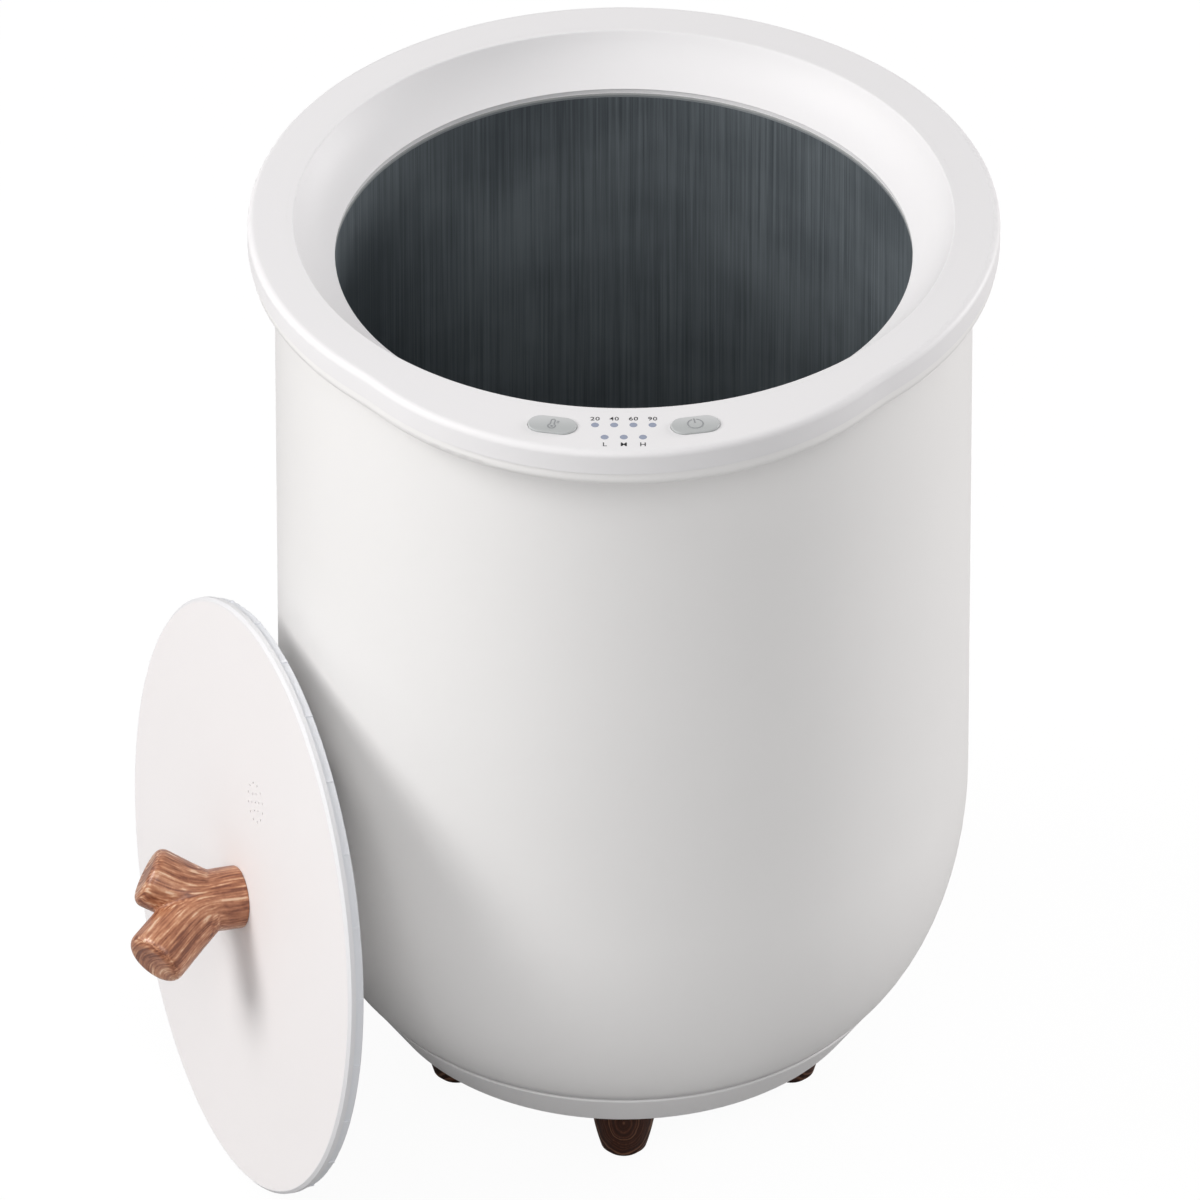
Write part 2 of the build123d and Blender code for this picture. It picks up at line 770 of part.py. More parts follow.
def make_thermostat():
    """Round bimetal switch that senses the floor of the pot."""
    low = pot_bottom_z - thermostat_height
    disc = post(thermostat_radius, low, pot_bottom_z)
    step = ring(thermostat_radius * 0.86, thermostat_radius + 1, low, low + thermostat_height * 0.6)
    body = disc - step
    for x in (-thermostat_radius * 0.45, thermostat_radius * 0.45):
        body += block(2.4, 0.8, low - 4, low, x, 0)
    return body


def make_thermal_fuse():
    """Cut-out that lies against the floor of the pot beside the thermostat."""
    x = thermostat_radius + fuse_radius + 2
    barrel = Rot(90, 0, 0) * Cylinder(fuse_radius, fuse_length)
    return Pos(x, 0, pot_bottom_z - fuse_radius - 0.05) * barrel


def make_sensor_bracket():
    """Bent strip under the pot that holds the thermostat and the cut-out up to it."""
    low = pot_bottom_z - 2 * fuse_radius - bracket_thickness - 0.1
    high = low + bracket_thickness
    strip = block(bracket_span, bracket_width, low, high)
    leg_x = bracket_span / 2 - bracket_thickness / 2
    for side in (-1, 1):
        strip += block(bracket_thickness, bracket_width, low, pot_bottom_z, side * leg_x, 0)
    return strip - post(thermostat_radius + fit_gap, low, pot_bottom_z)


# --- Control panel ---
def light_places():
    upper_y = -panel_reach + upper_light_setback
    lower_y = -panel_reach + lower_light_setback
    upper = [((index - 1.5) * light_spacing, upper_y) for index in range(4)]
    lower = [((index - 1) * light_spacing, lower_y) for index in range(3)]
    return upper + lower


def board_back_y():
    return -ledge_radius - control_board_back_gap


def board_front_y():
    return -panel_reach + control_board_front_gap


def board_screw_places():
    inset = board_boss_radius + 0.6
    back_y = board_back_y() - inset
    front_y = board_front_y() + inset
    side_x = control_board_half_length - inset
    front_x = 2 * light_spacing - board_boss_radius
    return [(-side_x, back_y), (side_x, back_y), (-front_x, front_y), (front_x, front_y)]


def control_board_plan():
    """The board lies inside the panel, so its front corners follow the collar."""
    depth = board_back_y() - board_front_y()
    plate = Pos(0, board_back_y() - depth / 2) * Rectangle(2 * control_board_half_length, depth)
    return plate & collar_outline(collar_wall + control_board_side_gap)


def make_control_board():
    plan = control_board_plan()
    board = Pos(0, 0, control_board_bottom_z) * extrude(plan, control_board_thickness)
    for x, y in board_screw_places():
        board -= post(board_screw_radius + fit_gap, control_board_bottom_z, control_board_top_z, x, y)
    for x, y in light_places():
        board += block(1.6, 1.6, control_board_top_z, control_board_top_z + 0.6, x, y)
    return board


def make_board_screws():
    grip = control_board_thickness + 3.0
    part = screw(board_screw_radius, grip, board_screw_head_radius, board_screw_head_height)
    return group(Pos(x, y, control_board_bottom_z) * part for x, y in board_screw_places())


def make_light_pipes():
    """Clear rods that carry each light to the face of the panel."""
    rods = []
    for x, y in light_places():
        rod = post(light_radius, control_board_top_z + 1, collar_top_z, x, y)
        flange_low = panel_under_z - light_flange_thickness
        rod += post(light_radius + light_flange, flange_low, panel_under_z, x, y)
        rods.append(rod)
    return group(rods)


def make_switches():
    """Bodies of the two press switches, each with a well for its plunger."""
    top = control_board_top_z + switch_body_height
    body = block(switch_body_size, switch_body_size, control_board_top_z, top)
    body -= post(plunger_radius + slide_gap, top - plunger_well_depth, top)
    return group(at_button(side, body) for side in (-1, 1))


def make_plunger(side):
    """Stem under the cap, which stands in its well with room for the cap's travel."""
    well_z = control_board_top_z + switch_body_height - plunger_well_depth
    low = well_z + button_travel + slide_gap
    return at_button(side, post(plunger_radius, low, plunger_top_z))


def thermometer_outline(inset):
    """A round bulb under an upright tube, moved in by the inset."""
    tube = Rot(0, 0, 90) * SlotOverall(sign_height - 2 * inset, 2 * (sign_tube_radius - inset))
    bulb = Circle(sign_bulb_radius - inset)
    return tube + Pos(0, sign_bulb_radius - sign_height / 2) * bulb


def thermometer_sign():
    """Plans of a hollow thermometer, of the drop in its bulb and of its scale marks."""
    drop = Pos(0, sign_bulb_radius - sign_height / 2) * Circle(sign_line)
    marks = [
        Pos(sign_tube_radius + 2 * sign_line, level * 2 * sign_line) * Rectangle(2 * sign_line, sign_line)
        for level in (1, 2)
    ]
    return [thermometer_outline(0) - thermometer_outline(sign_line), drop, *marks]


def power_sign():
    """Plan of a power sign: a ring that is open at its top, with a bar in the gap."""
    radius = sign_height / 2
    band = Circle(radius) - Circle(radius - sign_line)
    gap = Pos(0, radius) * Rectangle(3.4 * sign_line, radius)
    bar = Pos(0, radius * 0.62) * Rectangle(sign_line, radius * 0.9)
    return [band - gap, bar]


def make_button(side, sign):
    """Button cap with a raised sign, and a hidden flange that keeps it in the panel."""
    flange_top = panel_under_z - fit_gap
    wide = button_flange + button_clearance
    cap = pill(button_length, button_width, plunger_top_z, collar_top_z + button_proud)
    cap = fillet(cap.faces().sort_by(Axis.Z)[-1].edges(), button_edge_round)
    cap += pill(button_length + 2 * wide, button_width + 2 * wide, plunger_top_z, flange_top)
    cap_top_z = collar_top_z + button_proud
    for plan in sign:
        cap += Pos(0, 0, cap_top_z - sign_proud) * extrude(plan, 2 * sign_proud)
    return at_button(side, cap)


def make_ribbon_cable():
    """Flat cable from the mains board up inside the shell to the control board."""
    gap = ribbon_clearance + ribbon_thickness / 2
    width = shell_curve_width - shell_wall - gap
    depth = shell_curve_depth - shell_wall - gap

    def beside_shell(angle):
        """Point just inside the shell's lower curve, at this angle below its centre."""
        y = curve_centre_radius + width * cos(radians(angle))
        return 0, -y, shell_curve_top_z - depth * sin(radians(angle))

    start_y = ribbon_plug_y()
    start_z = power_board_top_z + ribbon_plug_size[2]
    run_z = base_top_z + shell_wall + base_screw_grip / 2
    run_angle = degrees(asin((shell_curve_top_z - run_z) / depth))
    top_y = -shell_inner_radius + gap
    points = [
        (0, start_y, start_z),
        (0, start_y, run_z),
        beside_shell(run_angle),
        beside_shell(run_angle / 2),
        beside_shell(0),
        (0, top_y, control_board_bottom_z),
    ]
    bends = [ribbon_small_bend, ribbon_bend, ribbon_wide_bend, ribbon_wide_bend]
    path = FilletPolyline(*points, radius=bends)
    start = Plane(points[0], x_dir=(1, 0, 0), z_dir=(0, 0, 1))
    return sweep(start * Rectangle(ribbon_width, ribbon_thickness), path=path)


# --- Lid, drawn flat with its handle up and its rim's widest line at height zero ---
plate_bottom = -lid_plate_thickness / 2
plate_top = lid_plate_thickness / 2
rib_ring_bottom = plate_bottom - rib_ring_height
liner_bottom = rib_ring_bottom - liner_depth


def make_lid_plate():
    rim_turn = lid_plate_round
    pad_top = plate_top + lid_crown
    crown = TangentArc((0, pad_top), (lid_radius - rim_turn, plate_top), tangent=(1, 0))
    plate = turned(
        crown,
        Line((lid_radius - rim_turn, plate_top), (lid_radius, plate_top - rim_turn)),
        Line((lid_radius, plate_top - rim_turn), (lid_radius, plate_bottom)),
        Line((lid_radius, plate_bottom), (0, plate_bottom)),
        Line((0, plate_bottom), (0, pad_top)),
    )
    plate -= post(liner_top_radius - liner_flange, plate_bottom, plate_top - lid_wall)
    plate += post(handle_foot_radius, plate_bottom, pad_top)
    plate -= post(handle_bolt_radius + fit_gap, plate_bottom, pad_top)
    for ring_index in range(3):
        count = max(1, 6 * ring_index)
        for index in range(count):
            x, y = around(ring_index * lid_vent_pitch, index * 360 / count)
            hole = post(lid_vent_hole_radius, plate_bottom, pad_top)
            plate -= Pos(lid_vent_x + x, lid_vent_y + y, 0) * hole
    return plate


def make_lid_rib_ring():
    """Ring under the plate's edge, with a rib across its rim at every step."""
    outer = lid_radius - rib_ring_inset - rib_proud
    body = ring(liner_top_radius - liner_flange, outer, rib_ring_bottom, plate_bottom)
    lower_rim = body.edges().filter_by(GeomType.CIRCLE).group_by(Axis.Z)[0].sort_by(SortBy.RADIUS)[-1]
    body = fillet(lower_rim, rib_ring_round)
    rib_length = 4 * rib_proud
    for index in range(rib_count):
        angle = rib_turn + index * 360 / rib_count
        x, y = around(outer + rib_proud - rib_length / 2, angle)
        rib = block(rib_width, rib_length, rib_ring_bottom + rib_ring_round, plate_bottom)
        body += Pos(x, y, 0) * Rot(0, 0, angle) * rib
    return body


def make_lid_liner():
    """Dished underside of the lid, which hangs into the mouth of the pot."""
    high = rib_ring_bottom
    outer = liner_top_radius - lid_seal_width - 1
    dish = turned(
        Line((0, liner_bottom), (liner_bottom_radius, liner_bottom)),
        Line((liner_bottom_radius, liner_bottom), (outer, high)),
        Line((outer, high), (0, high)),
        Line((0, high), (0, liner_bottom)),
    )
    rims = dish.edges().filter_by(GeomType.CIRCLE).sort_by(Axis.Z)
    dish = fillet(rims[0], 3.0)
    inner_top = outer - lid_wall * 3
    hollow = turned(
        Line((0, liner_bottom + lid_wall), (liner_bottom_radius - lid_wall, liner_bottom + lid_wall)),
        Line((liner_bottom_radius - lid_wall, liner_bottom + lid_wall), (inner_top, high)),
        Line((inner_top, high), (0, high)),
        Line((0, high), (0, liner_bottom + lid_wall)),
    )
    hub = post(handle_washer_radius + lid_wall, liner_bottom, high)
    dish -= hollow - hub
    well_top = high - lid_wall
    dish -= post(handle_washer_radius + fit_gap, liner_bottom, well_top)
    dish -= post(handle_bolt_radius + fit_gap, well_top, high)
    return dish


def make_lid_hub_spacer():
    """Tube between the plate and the liner, round the handle's bolt."""
    outer = handle_washer_radius
    tube = ring(handle_bolt_radius + fit_gap, outer, rib_ring_bottom, plate_bottom)
    return tube


def make_lid_seal():
    """Silicone ring under the lid's rim that closes on the flare."""
    outer = liner_top_radius
    return ring(outer - lid_seal_width, outer, rib_ring_bottom - lid_seal_thickness, rib_ring_bottom)


def make_lid_handle():
    """Forked branch: a short stem that splits into a long and a short prong."""
    foot_z = plate_top + lid_crown
    knot_z = handle_knot_height
    stem = turned(
        Line((0, foot_z), (handle_foot_radius, foot_z)),
        Line((handle_foot_radius, foot_z), (handle_knot_radius, knot_z)),
        Line((handle_knot_radius, knot_z), (0, knot_z)),
        Line((0, knot_z), (0, foot_z)),
    )
    handle = stem + Pos(0, 0, knot_z) * Sphere(handle_knot_radius)
    for side, length, angle in (
        (1, long_prong_length, long_prong_angle),
        (-1, short_prong_length, short_prong_angle),
    ):
        prong = post(handle_prong_radius, 0, length)
        prong = fillet(prong.edges().sort_by(Axis.Z)[-1], handle_tip_round)
        handle += Pos(0, 0, knot_z) * Rot(0, side * angle, 0) * prong
    handle -= post(3 * handle_foot_radius, -handle_foot_radius, foot_z)
    handle -= post(handle_bolt_radius + thread_gap, foot_z, foot_z + handle_bolt_grip + 1)
    return Rot(0, 0, handle_turn) * handle


def make_handle_bolt():
    seat = rib_ring_bottom - lid_wall - handle_washer_thickness
    grip = plate_top + lid_crown + handle_bolt_grip - seat
    part = screw(handle_bolt_radius, grip, handle_bolt_head_radius, handle_bolt_head_height)
    return Pos(0, 0, seat) * part


def make_handle_washer():
    seat = rib_ring_bottom - lid_wall
    return ring(handle_bolt_radius + fit_gap, handle_washer_radius, seat - handle_washer_thickness, seat)


def lid_location():
    """Where the lid stands: its rim on the floor and its liner against the shell."""
    lean = radians(lid_lean)
    turn = radians(lid_azimuth)
    outward = Vector(cos(turn), sin(turn), 0)
    sideways = Vector(-sin(turn), cos(turn), 0)
    normal = outward * cos(lean) + Vector(0, 0, sin(lean))
    uphill = Vector(0, 0, cos(lean)) - outward * sin(lean)
    # The rim's lowest point is the lower corner of the plate.
    centre_z = lid_radius * cos(lean) - plate_bottom * sin(lean)
    wall_distance = sqrt((shell_radius + lid_gap) ** 2 - lid_sideways**2)
    centre_distance = wall_distance + liner_bottom_radius * sin(lean) - liner_bottom * cos(lean)
    centre = outward * centre_distance + sideways * lid_sideways + Vector(0, 0, centre_z)
    return Plane(origin=centre, x_dir=uphill.cross(normal), z_dir=normal).location


nodes = {
    "base_cover": make_base_cover(),
    "base_screws": make_base_screws(),
    "foot_bolts": make_foot_bolts(),
    "cord_bush": make_cord_bush(),
    "power_board": make_power_board(),
    "power_board_screws": make_power_board_screws(),
    "outer_shell": make_outer_shell(),
    "support_plate": make_support_plate(),
    "felt_disc": make_felt_disc(),
    "collar_top": make_collar_top(),
    "flare_ring": make_flare_ring(),
    "mounting_ring": make_mounting_ring(),
    "collar_under_ring": make_under_ring(),
    "collar_screws": make_collar_screws(),
    "pot_floor": make_pot_floor(),
    "pot_wall": make_pot_wall(),
    "pot_rim": make_pot_rim(),
    "pot_gasket": make_pot_gasket(),
    "pot_spacers": make_pot_spacers(),
    "pot_screws": make_pot_screws(),
    "heater_film": make_heater_film(),
    "film_straps": make_film_straps(),
    "felt_sleeve": make_felt_sleeve(),
    "thermostat": make_thermostat(),
    "thermal_fuse": make_thermal_fuse(),
    "sensor_bracket": make_sensor_bracket(),
    "control_board": make_control_board(),
    "board_screws": make_board_screws(),
    "light_pipes": make_light_pipes(),
    "press_switches": make_switches(),
    "ribbon_cable": make_ribbon_cable(),
    "temperature_plunger": make_plunger(-1),
    "temperature_button": make_button(-1, thermometer_sign()),
    "power_plunger": make_plunger(1),
    "power_button": make_button(1, power_sign()),
}
for foot_index in range(foot_count):
    nodes[f"foot_{foot_index + 1}"] = make_foot(foot_index * foot_step)

lid_place = lid_location()
lid_nodes = {
    "lid_plate": make_lid_plate(),
    "lid_rib_ring": make_lid_rib_ring(),
    "lid_liner": make_lid_liner(),
    "lid_hub_spacer": make_lid_hub_spacer(),
    "lid_seal": make_lid_seal(),
    "lid_handle": make_lid_handle(),
    "handle_bolt": make_handle_bolt(),
    "handle_washer": make_handle_washer(),
}
for name, solid in lid_nodes.items():
    nodes[name] = lid_place * solid

os.makedirs("parts", exist_ok=True)
for name, solid in nodes.items():
    export_step(solid, f"parts/{name}.step")
print(len(nodes), "nodes, height", round(collar_top_z, 1), "mm")
print("lid centre", lid_place.position, "lid normal", Plane(lid_place).z_dir)
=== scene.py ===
# %% [markdown]
# # A towel warmer bucket
#
# The bucket is a round white body on five dark wooden feet. A collar round its mouth widens
# at the front into a control panel, and a dark metal pot shows inside. Its lid stands beside
# it on its rim, with a forked handle of branch wood.
#
# The solids are already made, so this lesson loads them as a fixed frame. It then gives every
# surface its finish, models the handle again as a grown branch, prints the panel's signs, and
# sets up a camera and a soft studio round the whole.

# %% Load the solids
import json
import math

import bmesh
import bpy
import numpy as np
from mathutils import Matrix, Vector


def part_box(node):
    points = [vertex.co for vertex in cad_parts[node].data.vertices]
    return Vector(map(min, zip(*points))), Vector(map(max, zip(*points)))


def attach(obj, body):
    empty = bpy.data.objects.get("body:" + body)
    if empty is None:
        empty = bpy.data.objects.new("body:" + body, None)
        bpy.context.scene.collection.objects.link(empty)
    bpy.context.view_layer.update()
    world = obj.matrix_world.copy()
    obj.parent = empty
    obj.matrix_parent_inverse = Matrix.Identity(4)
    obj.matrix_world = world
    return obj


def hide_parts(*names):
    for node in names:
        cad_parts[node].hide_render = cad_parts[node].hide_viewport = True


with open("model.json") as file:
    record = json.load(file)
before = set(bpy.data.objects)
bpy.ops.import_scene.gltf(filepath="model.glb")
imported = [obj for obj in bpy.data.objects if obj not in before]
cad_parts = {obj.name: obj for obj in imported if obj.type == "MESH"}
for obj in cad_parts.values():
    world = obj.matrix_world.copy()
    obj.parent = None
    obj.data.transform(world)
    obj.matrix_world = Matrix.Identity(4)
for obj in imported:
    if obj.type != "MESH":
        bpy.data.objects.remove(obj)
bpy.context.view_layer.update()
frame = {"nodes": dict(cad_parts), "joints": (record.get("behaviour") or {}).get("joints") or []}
nodes = frame["nodes"]
MM = 0.001

# %% [markdown]
# ## Sums on sockets
#
# A finish is a sum of patterns. Blender writes such a sum as a chain of Math nodes, which is
# slow to read. A small class that wraps a socket and overloads the operators lets the sum be
# written as ordinary Python, and still builds the same nodes. The reflected forms make
# `1 - mask` work as well as `mask - 1`.


# %% A socket that can be added and multiplied
class Signal:
    """One number, colour or direction that varies over a surface."""

    def __init__(self, wiring, socket):
        self.wiring = wiring
        self.socket = socket

    def sum_with(self, operation, *values):
        settings = {"operation": operation}
        return self.wiring.node("ShaderNodeMath", settings, dict(enumerate(values)))

    def __add__(self, other):
        return self.sum_with("ADD", self, other)

    def __sub__(self, other):
        return self.sum_with("SUBTRACT", self, other)

    def __rsub__(self, other):
        return self.sum_with("SUBTRACT", other, self)

    def __mul__(self, other):
        return self.sum_with("MULTIPLY", self, other)

    def __pow__(self, other):
        return self.sum_with("POWER", self, other)

    def __rpow__(self, other):
        return self.sum_with("POWER", other, self)

    __radd__ = __add__
    __rmul__ = __mul__

    def held(self):
        """The same signal, kept between 0 and 1."""
        return self.wiring.node("ShaderNodeMapRange", {"clamp": True}, {"Value": self})

    def spread(self, low, high):
        """A signal that goes smoothly from 0 to 1, while this one goes from low to high."""
        settings = {"clamp": True, "interpolation_type": "SMOOTHSTEP"}
        sockets = {"Value": self, "From Min": low, "From Max": high}
        return self.wiring.node("ShaderNodeMapRange", settings, sockets)


print("signals can be combined with +, -, * and **")

# %% [markdown]
# ## One way to add a node
#
# The class below holds a node tree, and its method `node` is the only way that a node comes
# in: settings first, because they change which sockets a node has, then the sockets' values or
# links. Materials use it, and the surroundings of the scene do too.


# %% The wiring of a node tree
class Wiring:
    """A node tree that is built up one node at a time."""

    def __init__(self, tree):
        self.tree = tree
        self.tree.nodes.clear()

    def feed(self, socket, value):
        if isinstance(value, Signal):
            self.tree.links.new(value.socket, socket)
        else:
            socket.default_value = value

    def node(self, kind, settings=(), sockets=(), output=0):
        """Adds a node: its settings first, then its sockets, and returns one output."""
        made = self.tree.nodes.new(kind)
        for name, value in dict(settings).items():
            if name == "stops":
                self.set_stops(made.color_ramp, value)
            else:
                setattr(made, name, value)
        for name, value in dict(sockets).items():
            self.feed(made.inputs[name], value)
        return Signal(self, made.outputs[output]) if made.outputs else made

    def set_stops(self, ramp, stops):
        while len(ramp.elements) < len(stops):
            ramp.elements.new(0.5)
        for element, (place, shade) in zip(ramp.elements, stops):
            element.position = place
            element.color = shade


print("a wiring clears its tree, and then adds node by node")

# %% [markdown]
# ## A finish
#
# Each finish is a material with one Principled shader. What is the same all over a surface is
# set on the shader's own socket, so that it survives an export. What varies is a signal, and
# the methods below are the patterns that several finishes share.


# %% The finish builder
class Finish(Wiring):
    """A material with one shader."""

    def __init__(self, name, **constants):
        self.material = bpy.data.materials.new(name)
        self.material.use_nodes = True
        super().__init__(self.material.node_tree)
        self.lit = self.node("ShaderNodeBsdfPrincipled")
        self.shader = self.lit.socket.node
        self.surface = self.node("ShaderNodeOutputMaterial").inputs[0]
        self.feed(self.surface, self.lit)
        for socket, value in constants.items():
            self.set(socket.replace("_", " "), value)

    def set(self, socket, value):
        """Sets or links one socket of the shader."""
        self.feed(self.shader.inputs[socket], value)

    def fed(self, socket):
        """The signal that already feeds one socket of the shader."""
        return Signal(self, self.shader.inputs[socket].links[0].from_socket)

    def vector(self, operation, *values, output=0):
        """One step of a sum on places or directions."""
        settings = {"operation": operation}
        return self.node("ShaderNodeVectorMath", settings, dict(enumerate(values)), output)

    def place(self):
        """Where a point of the surface lies on the piece, in metres."""
        return self.node("ShaderNodeTexCoord", output="Object")

    def along(self, axis, place=None):
        """The X, Y or Z of a place, which is the surface's own unless it is given."""
        return self.node("ShaderNodeSeparateXYZ", {}, {0: place or self.place()}, axis)

    def stretched(self, place, x, y, z):
        """The same place, multiplied along each direction."""
        return self.vector("MULTIPLY", place, (x, y, z))

    def noise(self, place, scale, detail=3.0, roughness=0.5, distortion=0.0):
        """Soft random values from 0 to 1, with about scale bumps in one metre."""
        sockets = {"Vector": place, "Scale": scale, "Detail": detail}
        sockets.update({"Roughness": roughness, "Distortion": distortion})
        return self.node("ShaderNodeTexNoise", {}, sockets, "Fac")

    def rings(self, distance, scale, detail):
        """Noise that depends on one distance only, and so draws rings."""
        sockets = {"W": distance, "Scale": scale, "Detail": detail}
        return self.node("ShaderNodeTexNoise", {"noise_dimensions": "1D"}, sockets)

    def ramp(self, tone, stops):
        """The colour that belongs to a tone, from a list of tones and colours."""
        return self.node("ShaderNodeValToRGB", {"stops": stops}, {"Fac": tone}, "Color")

    def mixed(self, factor, first, second):
        """Two colours, mixed by a factor."""
        sockets = {0: factor, 6: first, 7: second}
        return self.node("ShaderNodeMix", {"data_type": "RGBA"}, sockets, 2)

    def raised(self, height, depth, strength=1.0):
        """Makes the surface look raised by the height signal, by a depth in metres."""
        sockets = {"Height": height, "Distance": depth, "Strength": strength}
        self.set("Normal", self.node("ShaderNodeBump", {}, sockets))


# %% Colours, and putting a finish on
def colour(red, green, blue):
    """A colour written as it shows on a screen, from 0 to 255, turned into light."""

    def to_light(value):
        value /= 255
        return value / 12.92 if value <= 0.04045 else ((value + 0.055) / 1.055) ** 2.4

    return to_light(red), to_light(green), to_light(blue), 1


def dress(finish, *names):
    """Gives the solids with these names the finish."""
    for name in names:
        mesh = nodes[name].data
        mesh.materials.clear()
        mesh.materials.append(finish.material)
    print(finish.material.name, "on", ", ".join(names))


def scaled(shade, factor):
    """A darker or lighter copy of a colour."""
    return tuple(value * factor for value in shade[:3]) + (1,)


print("mid grey as light:", round(colour(128, 128, 128)[0], 3))

# %% [markdown]
# ## The camera
#
# The picture was taken from high in front with a long lens, so upright lines hardly lean. The
# camera stands far back on the same line of sight. The object isn't quite in the middle of the
# picture, and the lens's shift puts it there without turning the camera.

# %% The camera
SENSOR_WIDTH = 36  # in mm, as the lens is
LONG_LENS = 750
FAR_LIMIT = 100
VIEW_HEIGHT = 35.79  # in degrees above level
VIEW_DISTANCE = 11.087
VIEW_TARGET = Vector((0, 0, 0.2217))
PICTURE = 1200  # the photograph's width in pixels, which the next two are in too
TARGET_RIGHT = 23.8
TARGET_DOWN = 38.8

camera_data = bpy.data.cameras.new("camera")
camera_data.sensor_width = SENSOR_WIDTH
camera_data.lens = LONG_LENS
camera_data.clip_end = FAR_LIMIT
camera_data.shift_x = -TARGET_RIGHT / PICTURE
camera_data.shift_y = TARGET_DOWN / PICTURE
camera = bpy.data.objects.new("camera", camera_data)
bpy.context.scene.collection.objects.link(camera)
angle = math.radians(VIEW_HEIGHT)
camera.location = VIEW_TARGET + VIEW_DISTANCE * Vector((0, -math.cos(angle), math.sin(angle)))
camera.rotation_euler = (math.pi / 2 - angle, 0, 0)
bpy.context.scene.camera = camera
print("camera at", [round(value, 3) for value in camera.location])

# %% [markdown]
# ## Moulded plastic
#
# The body, the collar and the lid are white plastic with a satin gloss. Real mouldings are
# never quite even: the gloss drifts from place to place, and a faint orange-peel texture
# breaks up the reflections. Both are patterns of noise that are too weak to see by themselves,
# and that stop the white from looking like paper.
#
# Where the shell meets the base it curves under, and hardly any light comes back from the floor.
# The body's white is mixed with a grey, a painted shade, over its lowest millimetres, so that
# the seam reads as a soft dark line. The height of a point above the seam is all that this mask
# needs.


# %% White plastic
PLASTIC_IOR = 1.46
CLOUDS = 9  # bumps in one metre, as for the next three
GLOSS_DRIFTS = 26
ORANGE_PEEL = 420
FINE_GRAIN = 2600
CLOUD_SHADE = 0.965


def moulded(name, shade, gloss=0.32, drift=0.05, peel=0.012 * MM, shine=0.5):
    """Satin plastic in one shade, with uneven gloss and a faint orange peel."""
    finish = Finish(name, IOR=PLASTIC_IOR, Specular_IOR_Level=shine)
    place = finish.place()
    cloud = finish.noise(place, CLOUDS, detail=2)
    finish.set("Base Color", finish.mixed(cloud, shade, scaled(shade, CLOUD_SHADE)))
    finish.set("Roughness", finish.noise(place, GLOSS_DRIFTS, detail=4) * drift + gloss)
    coarse = finish.noise(place, ORANGE_PEEL, detail=1)
    finish.raised(coarse + finish.noise(place, FINE_GRAIN, detail=2) * 0.3, peel)
    return finish


body_white = moulded("body_white", colour(243, 242, 241), gloss=0.32)
collar_white = moulded("collar_white", colour(237, 236, 237), gloss=0.46, shine=0.3)
lid_white = moulded("lid_white", colour(240, 237, 237), gloss=0.54, shine=0.22)
# The lid's rib ring gets a greyer, bluer white: a painted shade for the band round the lid's
# edge.
lid_ring_shaded_white = moulded("lid_ring_shaded_white", colour(230, 232, 236), gloss=0.5, shine=0.3)
under_white = moulded("under_white", colour(236, 235, 235), gloss=0.5, peel=0.03 * MM)

# %% The painted shade above the seam, and which plastic goes where
SEAM_REACH = 8 * MM
# painted shade: this grey stands for the light that the floor doesn't send under the shell
SEAM_SHADE_GREY = colour(196, 194, 195)
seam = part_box("outer_shell")[0].z
above_seam = body_white.along(2).spread(seam, seam + SEAM_REACH)
shaded = body_white.mixed(above_seam, SEAM_SHADE_GREY, body_white.fed("Base Color"))
body_white.set("Base Color", shaded)
print("seam shade over", round(SEAM_REACH / MM), "mm above height", round(seam / MM, 1))
dress(body_white, "outer_shell", "collar_under_ring")
dress(collar_white, "collar_top", "flare_ring", "mounting_ring")
dress(lid_white, "lid_plate")
dress(lid_ring_shaded_white, "lid_rib_ring")
dress(under_white, "lid_liner", "lid_hub_spacer", "base_cover")

# %% [markdown]
# ## The pot
#
# The pot is drawn from aluminium sheet with a dark blue-grey coating. It was brushed upwards,
# which leaves long thin scratches: noise that is squeezed sideways and stretched along Z. Its
# floor was turned instead, so the scratches there run as rings and depend on the distance
# from the axis. The rim is the same sheet in a lighter shade.


# %% Brushed dark metal
SCRATCHES = 900  # across the brushing, in one metre
SCRATCH_ENDS = 9  # along the brushing
SCRATCH_DEPTH = 0.04 * MM
STAINS = 14


def brushed(name, dark, light, ringed):
    """Coated sheet with fine scratches, which run upwards or as rings."""
    finish = Finish(name, Metallic=0.45, Specular_IOR_Level=0.5)
    place = finish.place()
    if ringed:
        from_axis = finish.vector("LENGTH", finish.stretched(place, 1, 1, 0), output="Value")
        marks = finish.rings(from_axis, SCRATCHES, detail=3)
    else:
        drawn = finish.stretched(place, SCRATCHES, SCRATCHES, SCRATCH_ENDS)
        marks = finish.noise(drawn, 1, detail=4, roughness=0.6)
    stain = finish.noise(place, STAINS, detail=3)
    tone = (marks * 0.6 + stain * 0.5).spread(0.35, 0.8)
    finish.set("Base Color", finish.mixed(tone, dark, light))
    finish.set("Roughness", marks * 0.16 + 0.38)
    finish.raised(marks, SCRATCH_DEPTH, 0.5)
    return finish


# %% The pot's three pieces
POT_METALS = {
    "pot_wall": (colour(90, 97, 102), colour(136, 144, 149), False),
    "pot_floor": (colour(84, 89, 93), colour(122, 128, 131), True),
    "pot_rim": (colour(150, 155, 158), colour(188, 192, 194), True),
}
for name, (dark, light, ringed) in POT_METALS.items():
    dress(brushed(name + "_metal", dark, light, ringed), name)

# %% [markdown]
# ## Wood on the feet
#
# The feet are turned from a dark brown wood. A turned foot cuts across the tree's rings, so
# they show on its side as nested bowls. The pattern follows that: rings round a line that
# crosses the foot near its top, bent a little by noise, with fine pores on top. The rings need
# each foot's own middle, so each foot has its own finish, like its own piece of wood.


